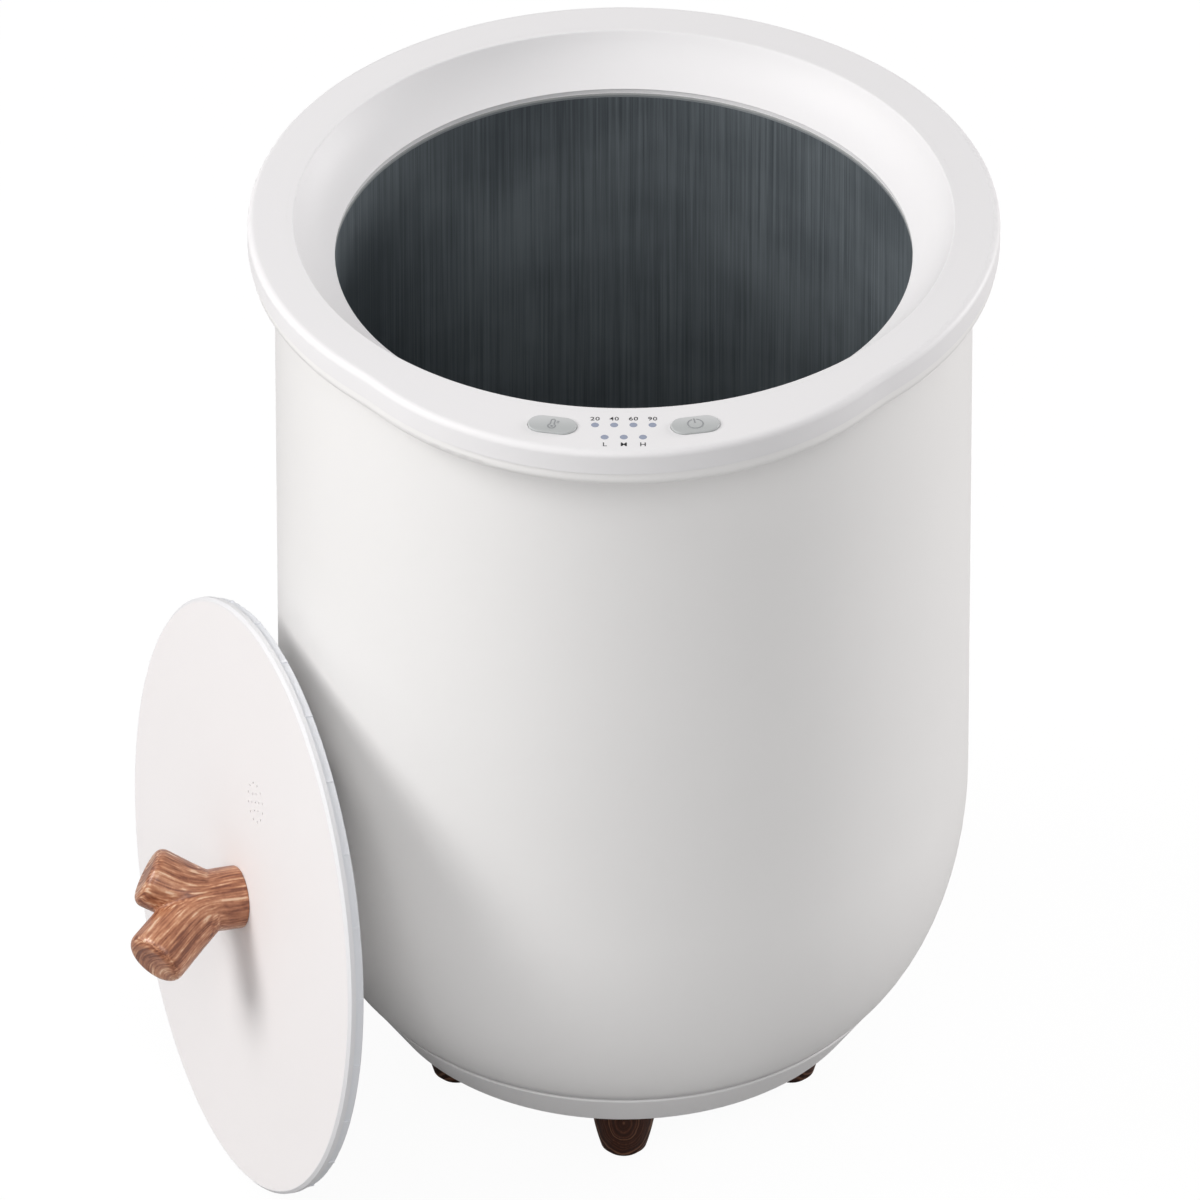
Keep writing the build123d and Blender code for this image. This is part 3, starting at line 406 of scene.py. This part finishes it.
# %% Dark turned wood
WOOD_IOR = 1.5
RING_SQUASH = 0.42  # rings are wider than they are high
RING_WANDER = 4 * MM
RING_BENDS = 90
TREE_RINGS = 900
PORES = (1500, 1500, 220)  # thin across the foot, and long up it
DARK_WOOD_STOPS = [
    (0.0, colour(42, 16, 4)),
    (0.5, colour(60, 28, 13)),
    (0.8, colour(84, 49, 33)),
    (1.0, colour(112, 78, 58)),
]


def turned_wood(name, heart, outward):
    """Wood whose rings lie round a line that points outward through the heart."""
    finish = Finish(name, IOR=WOOD_IOR, Specular_IOR_Level=0.25)
    place = finish.place()
    local = finish.vector("SUBTRACT", place, heart)
    across = finish.vector("DOT_PRODUCT", local, (-outward.y, outward.x, 0), output="Value")
    height = finish.along(2, local)
    wander = finish.noise(place, RING_BENDS, detail=2) * RING_WANDER
    distance = (across * across + height * height * RING_SQUASH) ** 0.5 + wander
    rings = finish.rings(distance, TREE_RINGS, detail=1)
    pores = finish.noise(finish.stretched(place, *PORES), 1, detail=3)
    tone = (rings * 0.85 + pores * 0.2).spread(0.36, 0.74)
    finish.set("Base Color", finish.ramp(tone, DARK_WOOD_STOPS))
    finish.set("Roughness", 0.5 - tone * 0.1)
    finish.raised(tone, 0.06 * MM, 0.5)
    return finish


# %% One piece of wood for each foot
HEART_SHARE = 0.62  # the heart's height as a share of the foot's

feet = sorted(name for name in nodes if name.startswith("foot_") and name != "foot_bolts")
for number, name in enumerate(feet):
    low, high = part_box(name)
    middle = (low + high) / 2
    heart = Vector((middle.x, middle.y, high.z * HEART_SHARE))
    outward = Vector((middle.x, middle.y, 0)).normalized()
    dress(turned_wood(f"dark_wood_{number + 1}", heart, outward), name)

# %% [markdown]
# ## The lid's own directions
#
# The lid leans, so anything built on it is easier to build flat and then placed. Its joint says
# which way it faces. The other two directions are uphill and sideways across it, and the
# plate's own points say where its middle and its outer face are.


# %% Where the lid is
def reach(name, direction):
    """Lowest and highest point of a solid along a direction, in metres."""
    heights = [point.co.dot(direction) for point in nodes[name].data.vertices]
    return min(heights), max(heights)


lid_joint = next(joint for joint in frame["joints"] if joint["child"] == "lid")
lid_outward = Vector(lid_joint["axis"]).normalized()
lid_uphill = (Vector((0, 0, 1)) - lid_outward * lid_outward.z).normalized()
lid_sideways = lid_uphill.cross(lid_outward)
lid_middle = [sum(reach("lid_plate", way)) / 2 for way in (lid_sideways, lid_uphill)]
lid_face = reach("lid_plate", lid_outward)[1]
lid_place = Matrix((lid_sideways, lid_uphill, lid_outward)).transposed().to_4x4()
lid_place.translation = (
    lid_sideways * lid_middle[0] + lid_uphill * lid_middle[1] + lid_outward * lid_face
)
print("lid's face centre in mm:", [round(value / MM, 1) for value in lid_place.translation])

# %% [markdown]
# ## The lid's edge and its painted shade
#
# The rounded edge of the plate faces the lamps more squarely than the flat face does, and would
# draw a hard white line round the lid. A painted shade, a slightly greyer white at the edge,
# keeps that line soft.
# The mask is a point's distance from the lid's own axis, and that is the length of the cross
# product of the point's offset and the axis.

# %% A painted shade on the lid's edge
EDGE_WIDTH = 2.4 * MM
# painted shade: a greyer white where the rounded edge would catch the lamps
EDGE_SHADE_GREY = colour(229, 229, 231)
near_side, far_side = reach("lid_plate", lid_sideways)
lid_radius = (far_side - near_side) / 2
offset = lid_white.vector("SUBTRACT", lid_white.place(), lid_place.translation)
crossed = lid_white.vector("CROSS_PRODUCT", offset, lid_outward)
from_axis = lid_white.vector("LENGTH", crossed, output="Value")
edge_shade_mask = from_axis.spread(lid_radius - EDGE_WIDTH, lid_radius - EDGE_WIDTH / 3)
lid_white.set("Base Color", lid_white.mixed(edge_shade_mask, lid_white.fed("Base Color"), EDGE_SHADE_GREY))
print("lid's radius in mm:", round(lid_radius / MM, 1))

# %% [markdown]
# ## The forked handle
#
# The handle is a piece of branch: a short stem that forks into a long and a short prong, both
# sawn off square. Three straight limbs that only cross would show hard seams, so they are
# joined, remeshed into one skin and smoothed, as a branch grows.

# %% The limbs of the handle
FOOT_RADIUS = 14.1 * MM
KNOT_HEIGHT = 16.8 * MM
LIMB_RADIUS = 13.9 * MM
END_ROUND = 4.2 * MM
ROOT_SHARE = 0.985  # a prong's radius where it starts, as a share of the limb's
WAIST_SHARE = 0.975
WAIST_PLACE = 0.45  # as a share of the prong's length
FORK_TURN = math.radians(-38.7)
PRONGS = (
    {"length": 38.5 * MM, "angle": math.radians(39.0)},
    {"length": 28.7 * MM, "angle": math.radians(-34.9)},
)
UP = Vector((0, 0, 1))
knot = UP * KNOT_HEIGHT
fork_out = Vector((math.cos(FORK_TURN), math.sin(FORK_TURN), 0))


def prong_way(prong):
    """The direction of a prong, away from the knot."""
    return fork_out * math.sin(prong["angle"]) + UP * math.cos(prong["angle"])


for prong in PRONGS:
    print("prong of", round(prong["length"] / MM, 1), "mm, rising", round(prong_way(prong).z, 2))


# %% Limb shapes
def limb_rings(start, direction, sizes, sides=48):
    """A round limb: one ring of points for each (distance, radius), closed at both ends."""
    mesh = bmesh.new()
    turn = direction.to_track_quat("Z", "Y")
    rings = []
    for distance, radius in sizes:
        ring = []
        for side in range(sides):
            spin = 2 * math.pi * side / sides
            local = Vector((radius * math.cos(spin), radius * math.sin(spin), distance))
            ring.append(mesh.verts.new(start + turn @ local))
        rings.append(ring)
    for lower, upper in zip(rings, rings[1:]):
        for side in range(sides):
            following = (side + 1) % sides
            mesh.faces.new((lower[side], lower[following], upper[following], upper[side]))
    mesh.faces.new(list(reversed(rings[0])))
    mesh.faces.new(rings[-1])
    return mesh


def prong_sizes(length, radius, steps=6):
    """A prong is a little waisted, and the edge of its sawn end is rounded."""
    sizes = [(0, radius * ROOT_SHARE), (length * WAIST_PLACE, radius * WAIST_SHARE)]
    for step in range(steps + 1):
        turn = math.pi / 2 * step / steps
        along = length - END_ROUND * (1 - math.sin(turn))
        sizes.append((along, radius - END_ROUND * (1 - math.cos(turn))))
    return sizes


def knot_sizes(radius, steps=12):
    """A ball, as rings from its lower to its upper pole."""
    angles = [math.pi * (step + 0.5) / steps for step in range(steps)]
    return [(-radius * math.cos(turn), radius * math.sin(turn)) for turn in angles]


print("a prong has", len(prong_sizes(PRONGS[0]["length"], LIMB_RADIUS)), "rings of points")


# %% The limbs, joined
def joined(name, parts):
    """One mesh object from several closed shapes."""
    whole = bmesh.new()
    for part in parts:
        flat = bpy.data.meshes.new("part")
        part.to_mesh(flat)
        part.free()
        whole.from_mesh(flat)
        bpy.data.meshes.remove(flat)
    mesh = bpy.data.meshes.new(name)
    whole.to_mesh(mesh)
    whole.free()
    piece = bpy.data.objects.new(name, mesh)
    bpy.context.scene.collection.objects.link(piece)
    return piece


stem_sizes = [(0, FOOT_RADIUS), (KNOT_HEIGHT * 0.5, FOOT_RADIUS), (KNOT_HEIGHT, LIMB_RADIUS)]
parts = [limb_rings(Vector(), UP, stem_sizes), limb_rings(knot, UP, knot_sizes(LIMB_RADIUS))]
for prong in PRONGS:
    parts.append(limb_rings(knot, prong_way(prong), prong_sizes(prong["length"], LIMB_RADIUS)))
handle = joined("forked_handle", parts)
print("joined limbs:", len(handle.data.vertices), "points")

# %% One skin over the limbs
VOXEL = 0.42 * MM
EASE_ROUNDS = 16
EASE_FACTOR = 0.5


def settled(piece):
    """Applies the piece's modifiers to its mesh."""
    bpy.context.view_layer.update()
    graph = bpy.context.evaluated_depsgraph_get()
    mesh = bpy.data.meshes.new_from_object(piece.evaluated_get(graph))
    piece.modifiers.clear()
    piece.data = mesh


remesh = handle.modifiers.new("skin", "REMESH")
remesh.mode = "VOXEL"
remesh.voxel_size = VOXEL
smooth = handle.modifiers.new("ease", "SMOOTH")
smooth.factor = EASE_FACTOR
smooth.iterations = EASE_ROUNDS
settled(handle)
for polygon in handle.data.polygons:
    polygon.use_smooth = True
print("handle skin:", len(handle.data.vertices), "points")

# %% [markdown]
# ## Fibres in the wood
#
# Wood fibres run up the stem and bend into each prong. Where a prong is sawn off, the year
# rings show as arcs. The fibres are drawn the way iron filings show a field: from each point of
# the skin a path is followed some millimetres both ways along the grain, and a random pattern
# is averaged along it. Neighbours on one fibre then get nearly the same value, and neighbours
# across it don't. It needs two things: random values in space, and the grain's direction.


# %% Random values in space
SCATTER_X, SCATTER_Y, SCATTER_Z = 73856093, 19349663, 83492791  # large primes
STIR = 1274126177


def solid_noise(points, size, seed):
    """Smooth random values from 0 to 1, about one bump for each length of size."""
    grid = points / size
    corner = np.floor(grid).astype(np.int64)
    share = grid - corner
    share = share * share * (3 - 2 * share)
    total = np.zeros(len(points))
    for step in np.ndindex(2, 2, 2):
        x, y, z = (corner + step).T
        mixed = (x * SCATTER_X) ^ (y * SCATTER_Y) ^ (z * SCATTER_Z) ^ seed
        mixed = (mixed ^ (mixed >> 13)) * STIR
        value = ((mixed >> 8) & 0xFFFF) / 0xFFFF
        total += value * np.prod(np.where(step, share, 1 - share), axis=1)
    return total


print("noise at one point:", round(float(solid_noise(np.zeros((1, 3)), 1.0, 5)[0]), 3))


# %% Directions, and smooth blends of them
def unit(rows):
    """The same directions, each with a length of 1."""
    return rows / np.linalg.norm(rows, axis=1, keepdims=True)


def eased(values, low, high):
    """A column that goes smoothly from 0 to 1 between two values."""
    share = np.clip((values - low) / (high - low), 0, 1)
    return (share * share * (3 - 2 * share))[:, None]


def blended(first, second, share):
    """Directions between two others."""
    return unit(first * (1 - share) + second * share)


print("half way through a blend:", eased(np.array([0.5]), 0, 1)[0, 0])


# %% Which way the grain runs
END_TURN = 3.0 * MM  # the grain turns across the prong this near its sawn end
RING_OFFSET = 1.5 * LIMB_RADIUS
FORK_BLEND = 3 * MM
STEEPEST = 40  # keeps the exponential in range
FORK_START = KNOT_HEIGHT * 0.1  # heights between which the grain bends into the prongs
FORK_END = KNOT_HEIGHT * 1.3


def prong_grain(points, prong):
    """The grain in one prong, and how far each point is from the prong's middle line."""
    way = np.array(prong_way(prong))
    side = np.cross(np.cross(way, UP), way)
    offset = points - np.array(knot)
    along = offset @ way
    across = offset - np.outer(along, way)
    rings = unit(np.cross(across + RING_OFFSET * side / np.linalg.norm(side), way))
    end = eased(along, prong["length"] - END_TURN, prong["length"] - END_TURN / 4)
    return blended(np.tile(way, (len(points), 1)), rings, end), np.linalg.norm(across, axis=1)


def grain_way(points):
    """The direction of the wood at each point, seen from the lid."""
    (long_way, long_span), (short_way, short_span) = (prong_grain(points, p) for p in PRONGS)
    further = np.clip((long_span - short_span) / FORK_BLEND, -STEEPEST, STEEPEST)
    nearer = 1 / (1 + np.exp(further))
    forked = blended(short_way, long_way, nearer[:, None])
    risen = eased(points[:, 2], FORK_START, FORK_END)
    return blended(np.tile(np.array(UP), (len(points), 1)), forked, risen)


print("grain at the knot:", np.round(grain_way(np.array([list(knot)]))[0], 2))


# %% Follow the fibres
FIBRE = {"name": "fibre", "size": 0.6 * MM, "step": 0.4 * MM, "seed": 5}
BAND = {"name": "band", "size": 1.9 * MM, "step": 1.0 * MM, "seed": 9}


def fibre_pattern(points, size, step, seed, steps=16):
    """A random pattern that is drawn out along the grain, with a mean of 0 and spread of 1."""
    total = solid_noise(points, size, seed)
    for sense in (1, -1):
        place = points.copy()
        for _ in range(steps):
            place = place + sense * step * grain_way(place)
            total += solid_noise(place, size, seed)
    return (total - total.mean()) / total.std()


skin = np.array([vertex.co for vertex in handle.data.vertices], dtype=float)
for pattern in (FIBRE, BAND):
    values = fibre_pattern(skin, pattern["size"], pattern["step"], pattern["seed"])
    attribute = handle.data.attributes.new(pattern["name"], "FLOAT", "POINT")
    attribute.data.foreach_set("value", values)
    print(pattern["name"], "runs from", round(values.min(), 1), "to", round(values.max(), 1))


# %% [markdown]
# ## Branch wood
#
# The two patterns are added up to one tone, which picks a brown from a list. Most of the tone
# comes from the fine fibres, and the broad bands only shift it. A thin lacquer lies over the
# wood, so the finish has a weak coat that is smoother than the wood below it.


# %% Lacquered branch wood
BRANCH_WOOD_STOPS = [
    (0.03, colour(116, 64, 42)),
    (0.2, colour(140, 84, 56)),
    (0.36, colour(154, 98, 68)),
    (0.52, colour(170, 112, 80)),
    (0.68, colour(184, 128, 94)),
    (0.84, colour(200, 150, 116)),
    (0.97, colour(218, 182, 152)),
]


def branch_wood():
    """Wood whose tone follows the patterns that the skin carries."""
    finish = Finish("branch_wood", IOR=WOOD_IOR, Coat_Weight=0.2, Coat_Roughness=0.2)
    fibre, band = (
        finish.node("ShaderNodeAttribute", {"attribute_name": pattern["name"]}, output="Fac")
        for pattern in (FIBRE, BAND)
    )
    tone = (fibre * 0.22 + band * 0.14 + 0.48).held()
    finish.set("Base Color", finish.ramp(tone, BRANCH_WOOD_STOPS))
    finish.set("Roughness", 0.42 - tone * 0.12)
    finish.raised(tone, 0.12 * MM, 0.6)
    return finish


# %% The handle goes onto the lid
handle.data.materials.clear()
handle.data.materials.append(branch_wood().material)
handle.matrix_world = lid_place
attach(handle, "lid")
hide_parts("lid_handle")
print("handle placed at", [round(value / MM, 1) for value in handle.location], "mm")

# %% [markdown]
# ## Buttons and lights
#
# The two buttons are soft grey plastic with a fine matt grain, made by etching the mould. Two
# masks change their grey. One follows the depth, and makes the far half of each cap paler, as
# painted light, since its slope there faces the lamps. The other follows the height, and darkens
# the sign, which is moulded a little proud of the cap. The lights under the panel show as cloudy
# blue-grey windows.

# %% Button grey, with painted light on the far half and a darker sign
CAP_TOP = 450.4 * MM
CAP_GREY = colour(180, 183, 183)
# painted light: the far half of each cap is paler, where its slope faces the lamps
FAR_HALF_LIT_GREY = colour(212, 213, 214)
SIGN_GREY = colour(138, 140, 143)
button_grey = moulded("button_grey", CAP_GREY, gloss=0.48, drift=0.08, peel=0.04 * MM)
cap_low, cap_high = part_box("temperature_button")
lit_far_half = button_grey.along(1).spread(cap_low.y + 4 * MM, cap_high.y)
lit_cap_shade = button_grey.mixed(lit_far_half * 0.7, button_grey.fed("Base Color"), FAR_HALF_LIT_GREY)
on_sign = button_grey.along(2).spread(CAP_TOP + 0.05 * MM, CAP_TOP + 0.1 * MM)
button_grey.set("Base Color", button_grey.mixed(on_sign * 0.9, lit_cap_shade, SIGN_GREY))
print("sign starts above height", round(CAP_TOP / MM, 2))

# %% Buttons, light windows and switches
light_window = moulded("light_window", colour(148, 156, 176), gloss=0.22, peel=0.01 * MM)
black_plastic = moulded("black_plastic", colour(30, 30, 32), gloss=0.45, peel=0.03 * MM)
dress(button_grey, "temperature_button", "power_button")
dress(light_window, "light_pipes")
dress(black_plastic, "temperature_plunger", "power_plunger", "press_switches")

# %% [markdown]
# ## What the walls hide
#
# The parts inside the walls are seen only when the object is taken apart, but each of them has
# its own finish too: plated screws, raw felt, the amber film that warms the pot, green boards
# and grey silicone.


# %% Plated and pressed metal
TARNISH = 0.72  # how dark the darkest marks are


def metal(name, shade, gloss=0.35, grain=700):
    """Bare metal with fine darker marks."""
    finish = Finish(name, Metallic=1.0)
    place = finish.place()
    marks = finish.noise(place, grain, detail=4)
    finish.set("Base Color", finish.mixed(marks, scaled(shade, TARNISH), shade))
    finish.set("Roughness", marks * 0.2 + gloss - 0.1)
    finish.raised(marks, 0.02 * MM)
    return finish


plated_steel = metal("plated_steel", colour(188, 188, 190))
sheet_steel = metal("sheet_steel", colour(200, 201, 203), gloss=0.45, grain=120)
pressed_metal = metal("pressed_metal", colour(206, 206, 208), gloss=0.3, grain=300)
dress(plated_steel, "base_screws", "foot_bolts", "power_board_screws", "collar_screws")
dress(plated_steel, "pot_screws", "pot_spacers", "film_straps", "board_screws")
dress(plated_steel, "handle_bolt", "handle_washer")
dress(sheet_steel, "support_plate", "sensor_bracket")
dress(pressed_metal, "thermostat", "thermal_fuse")


# %% Felt
WOOL_FIBRES = 900


def felt():
    """Loose wool fibres that are pressed flat."""
    finish = Finish("felt", Sheen_Weight=0.3)
    place = finish.place()
    fibres = finish.noise(place, WOOL_FIBRES, detail=5, roughness=0.7, distortion=1.2)
    finish.set("Base Color", finish.mixed(fibres, colour(168, 165, 158), colour(212, 209, 201)))
    finish.set("Roughness", fibres * 0.1 + 0.85)
    finish.raised(fibres, 0.6 * MM)
    return finish


dress(felt(), "felt_disc", "felt_sleeve")


# %% Circuit boards
COPPER_TRACKS = 260


def board():
    """Green lacquer over copper tracks, which show as paler lines."""
    finish = Finish("circuit_board", IOR=1.5)
    sockets = {"Vector": finish.place(), "Scale": COPPER_TRACKS}
    tracks = finish.node("ShaderNodeTexVoronoi", {"distance": "MANHATTAN"}, sockets)
    lines = tracks.spread(0.42, 0.5)
    finish.set("Base Color", finish.mixed(lines, colour(24, 92, 56), colour(52, 132, 84)))
    finish.set("Roughness", lines * 0.1 + 0.35)
    finish.raised(lines, 0.04 * MM)
    return finish


dress(board(), "power_board", "control_board")

# %% Film, rubber and cable
amber_film = moulded("amber_film", colour(196, 128, 58), gloss=0.3, drift=0.1)
silicone = moulded("grey_silicone", colour(176, 178, 178), gloss=0.6, peel=0.04 * MM)
bush_rubber = moulded("bush_rubber", colour(214, 214, 214), gloss=0.62, peel=0.05 * MM)
flat_cable = moulded("flat_cable", colour(178, 178, 178), gloss=0.5)
dress(amber_film, "heater_film")
dress(silicone, "pot_gasket", "lid_seal")
dress(bush_rubber, "cord_bush")
dress(flat_cable, "ribbon_cable")

# %% [markdown]
# ## Signs on the panel
#
# The panel has plain numbers over its upper row of lights and plain level marks under its lower
# row. They are printed, so each is a very thin piece of type that lies on the face. The lights'
# own solids say where the rows are.

# %% Where the rows of lights are
LIGHT_RADIUS = 1.7 * MM
LIGHT_SPACING = 8.3 * MM
panel_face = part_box("collar_top")[1].z
light_low, light_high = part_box("light_pipes")
upper_row = light_high.y - LIGHT_RADIUS
lower_row = light_low.y + LIGHT_RADIUS
print("rows of lights at Y in mm:", round(upper_row / MM, 1), round(lower_row / MM, 1))

# %% Printed signs
CAPITAL_HEIGHT = 0.73  # of a capital or a digit, as a share of the type's size
INK_HEIGHT = 0.02 * MM
INK_SPREAD = 0.045 * MM  # makes the strokes bolder
WIDER_TYPE = 1.05
LETTER_SPACING = 1.12
SIGN_ROWS = (
    {"signs": ("20", "40", "60", "90"), "y": upper_row + 3.9 * MM, "height": 2.7 * MM},
    {"signs": ("L", "M", "H"), "y": lower_row - 5.0 * MM, "height": 2.8 * MM},
)
ink = moulded("ink", colour(24, 24, 28), gloss=0.5)


def printed(text, x, y, height):
    """A word of plain type, centred on a place of the panel's face."""
    curve = bpy.data.curves.new("sign_" + text, "FONT")
    curve.body = text
    curve.size = height / CAPITAL_HEIGHT
    curve.space_character = LETTER_SPACING
    curve.align_x = "CENTER"
    curve.align_y = "CENTER"
    curve.extrude = INK_HEIGHT
    curve.offset = INK_SPREAD
    sign = bpy.data.objects.new("sign_" + text, curve)
    bpy.context.scene.collection.objects.link(sign)
    sign.scale = (WIDER_TYPE, 1, 1)
    sign.location = (x, y, panel_face + INK_HEIGHT)
    curve.materials.append(ink.material)
    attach(sign, "bucket")


for row in SIGN_ROWS:
    middle = (len(row["signs"]) - 1) / 2
    for number, text in enumerate(row["signs"]):
        printed(text, (number - middle) * LIGHT_SPACING, row["y"], row["height"])
print("signs printed at height", round(panel_face / MM, 1))

# %% [markdown]
# ## The studio
#
# A white object on white needs its light more than its colour. A large soft lamp high on the
# left gives the body its slow shade from left to right, a wider one in front opens the shade on
# the near side, and a small low one on the right draws a pale edge along the body. The white
# surroundings fill the rest. The floor and the world look white to the camera, while the floor
# still takes the object's shadow: its shader is mixed with a glow that only the camera sees.

# %% The floor
FLOOR_SIZE = 12.0
FLOOR_DROP = 0.2 * MM  # keeps the floor clear of the feet that stand on it
floor_shape = bmesh.new()
bmesh.ops.create_grid(floor_shape, x_segments=24, y_segments=24, size=FLOOR_SIZE / 2)
floor_mesh = bpy.data.meshes.new("studio_floor")
floor_shape.to_mesh(floor_mesh)
floor_shape.free()
floor = bpy.data.objects.new("studio_floor", floor_mesh)
bpy.context.scene.collection.objects.link(floor)
floor.location.z = -FLOOR_DROP
print("floor of", FLOOR_SIZE, "m")

# %% The floor's glow
FLOOR_GREY = colour(178, 178, 178)
FLOOR_GLOW = 1.08
GLOW_SHARE = 0.88
floor_finish = Finish("studio_floor", Base_Color=FLOOR_GREY, Roughness=0.9)
seen = floor_finish.node("ShaderNodeLightPath", output="Is Camera Ray")
glow = floor_finish.node("ShaderNodeEmission", {}, {"Strength": FLOOR_GLOW})
sockets = {0: seen * GLOW_SHARE, 1: floor_finish.lit, 2: glow}
floor_finish.feed(floor_finish.surface, floor_finish.node("ShaderNodeMixShader", {}, sockets))
floor_mesh.materials.append(floor_finish.material)
print("the camera sees", GLOW_SHARE, "of the glow and the rest of the shadow")

# %% The surroundings
AMBIENT = 0.36
AMBIENT_SHADE = (1, 0.99, 0.995, 1)
WHITE = (1, 1, 1, 1)
world = bpy.data.worlds.new("studio")
world.use_nodes = True
bpy.context.scene.world = world
sky = Wiring(world.node_tree)
soft = sky.node("ShaderNodeBackground", {}, {"Color": AMBIENT_SHADE, "Strength": AMBIENT})
white = sky.node("ShaderNodeBackground", {}, {"Color": WHITE, "Strength": 1.0})
looks_out = sky.node("ShaderNodeLightPath", output="Is Camera Ray")
for output in ("Is Glossy Ray", "Is Transmission Ray"):
    bounced = sky.node("ShaderNodeLightPath", output=output)
    looks_out = looks_out.sum_with("MAXIMUM", looks_out, bounced)
backdrop = sky.node("ShaderNodeMixShader", {}, {0: looks_out, 1: soft, 2: white})
sky.node("ShaderNodeOutputWorld", {}, {"Surface": backdrop})
print("surroundings: light of", AMBIENT, "and a white backdrop")


# %% The lamps
LAMP_TARGET = Vector((0, 0, 0.25))
WARM = (1, 0.985, 0.975)
PLAIN = (1, 1, 1)


def lamp(name, place, size, power, shade=PLAIN):
    """A square soft lamp that faces the middle of the object."""
    data = bpy.data.lights.new(name, "AREA")
    data.shape = "SQUARE"
    data.size = size
    data.energy = power
    data.color = shade
    made = bpy.data.objects.new(name, data)
    bpy.context.scene.collection.objects.link(made)
    made.location = place
    aim = LAMP_TARGET - made.location
    made.rotation_euler = aim.to_track_quat("-Z", "Y").to_euler()
    print(name, "at", tuple(place), "with", power, "W")


lamp("key_lamp", Vector((-2.78, -0.49, 2.15)), size=1.7, power=73, shade=WARM)
lamp("front_lamp", Vector((-0.25, -3.3, 2.9)), size=2.4, power=56)
lamp("side_lamp", Vector((2.7, 1.3, 0.9)), size=0.9, power=56, shade=(1, 0.98, 0.975))

bpy.context.scene.view_settings.view_transform = "Standard"

# %% The last update of the scene
bpy.context.view_layer.update()
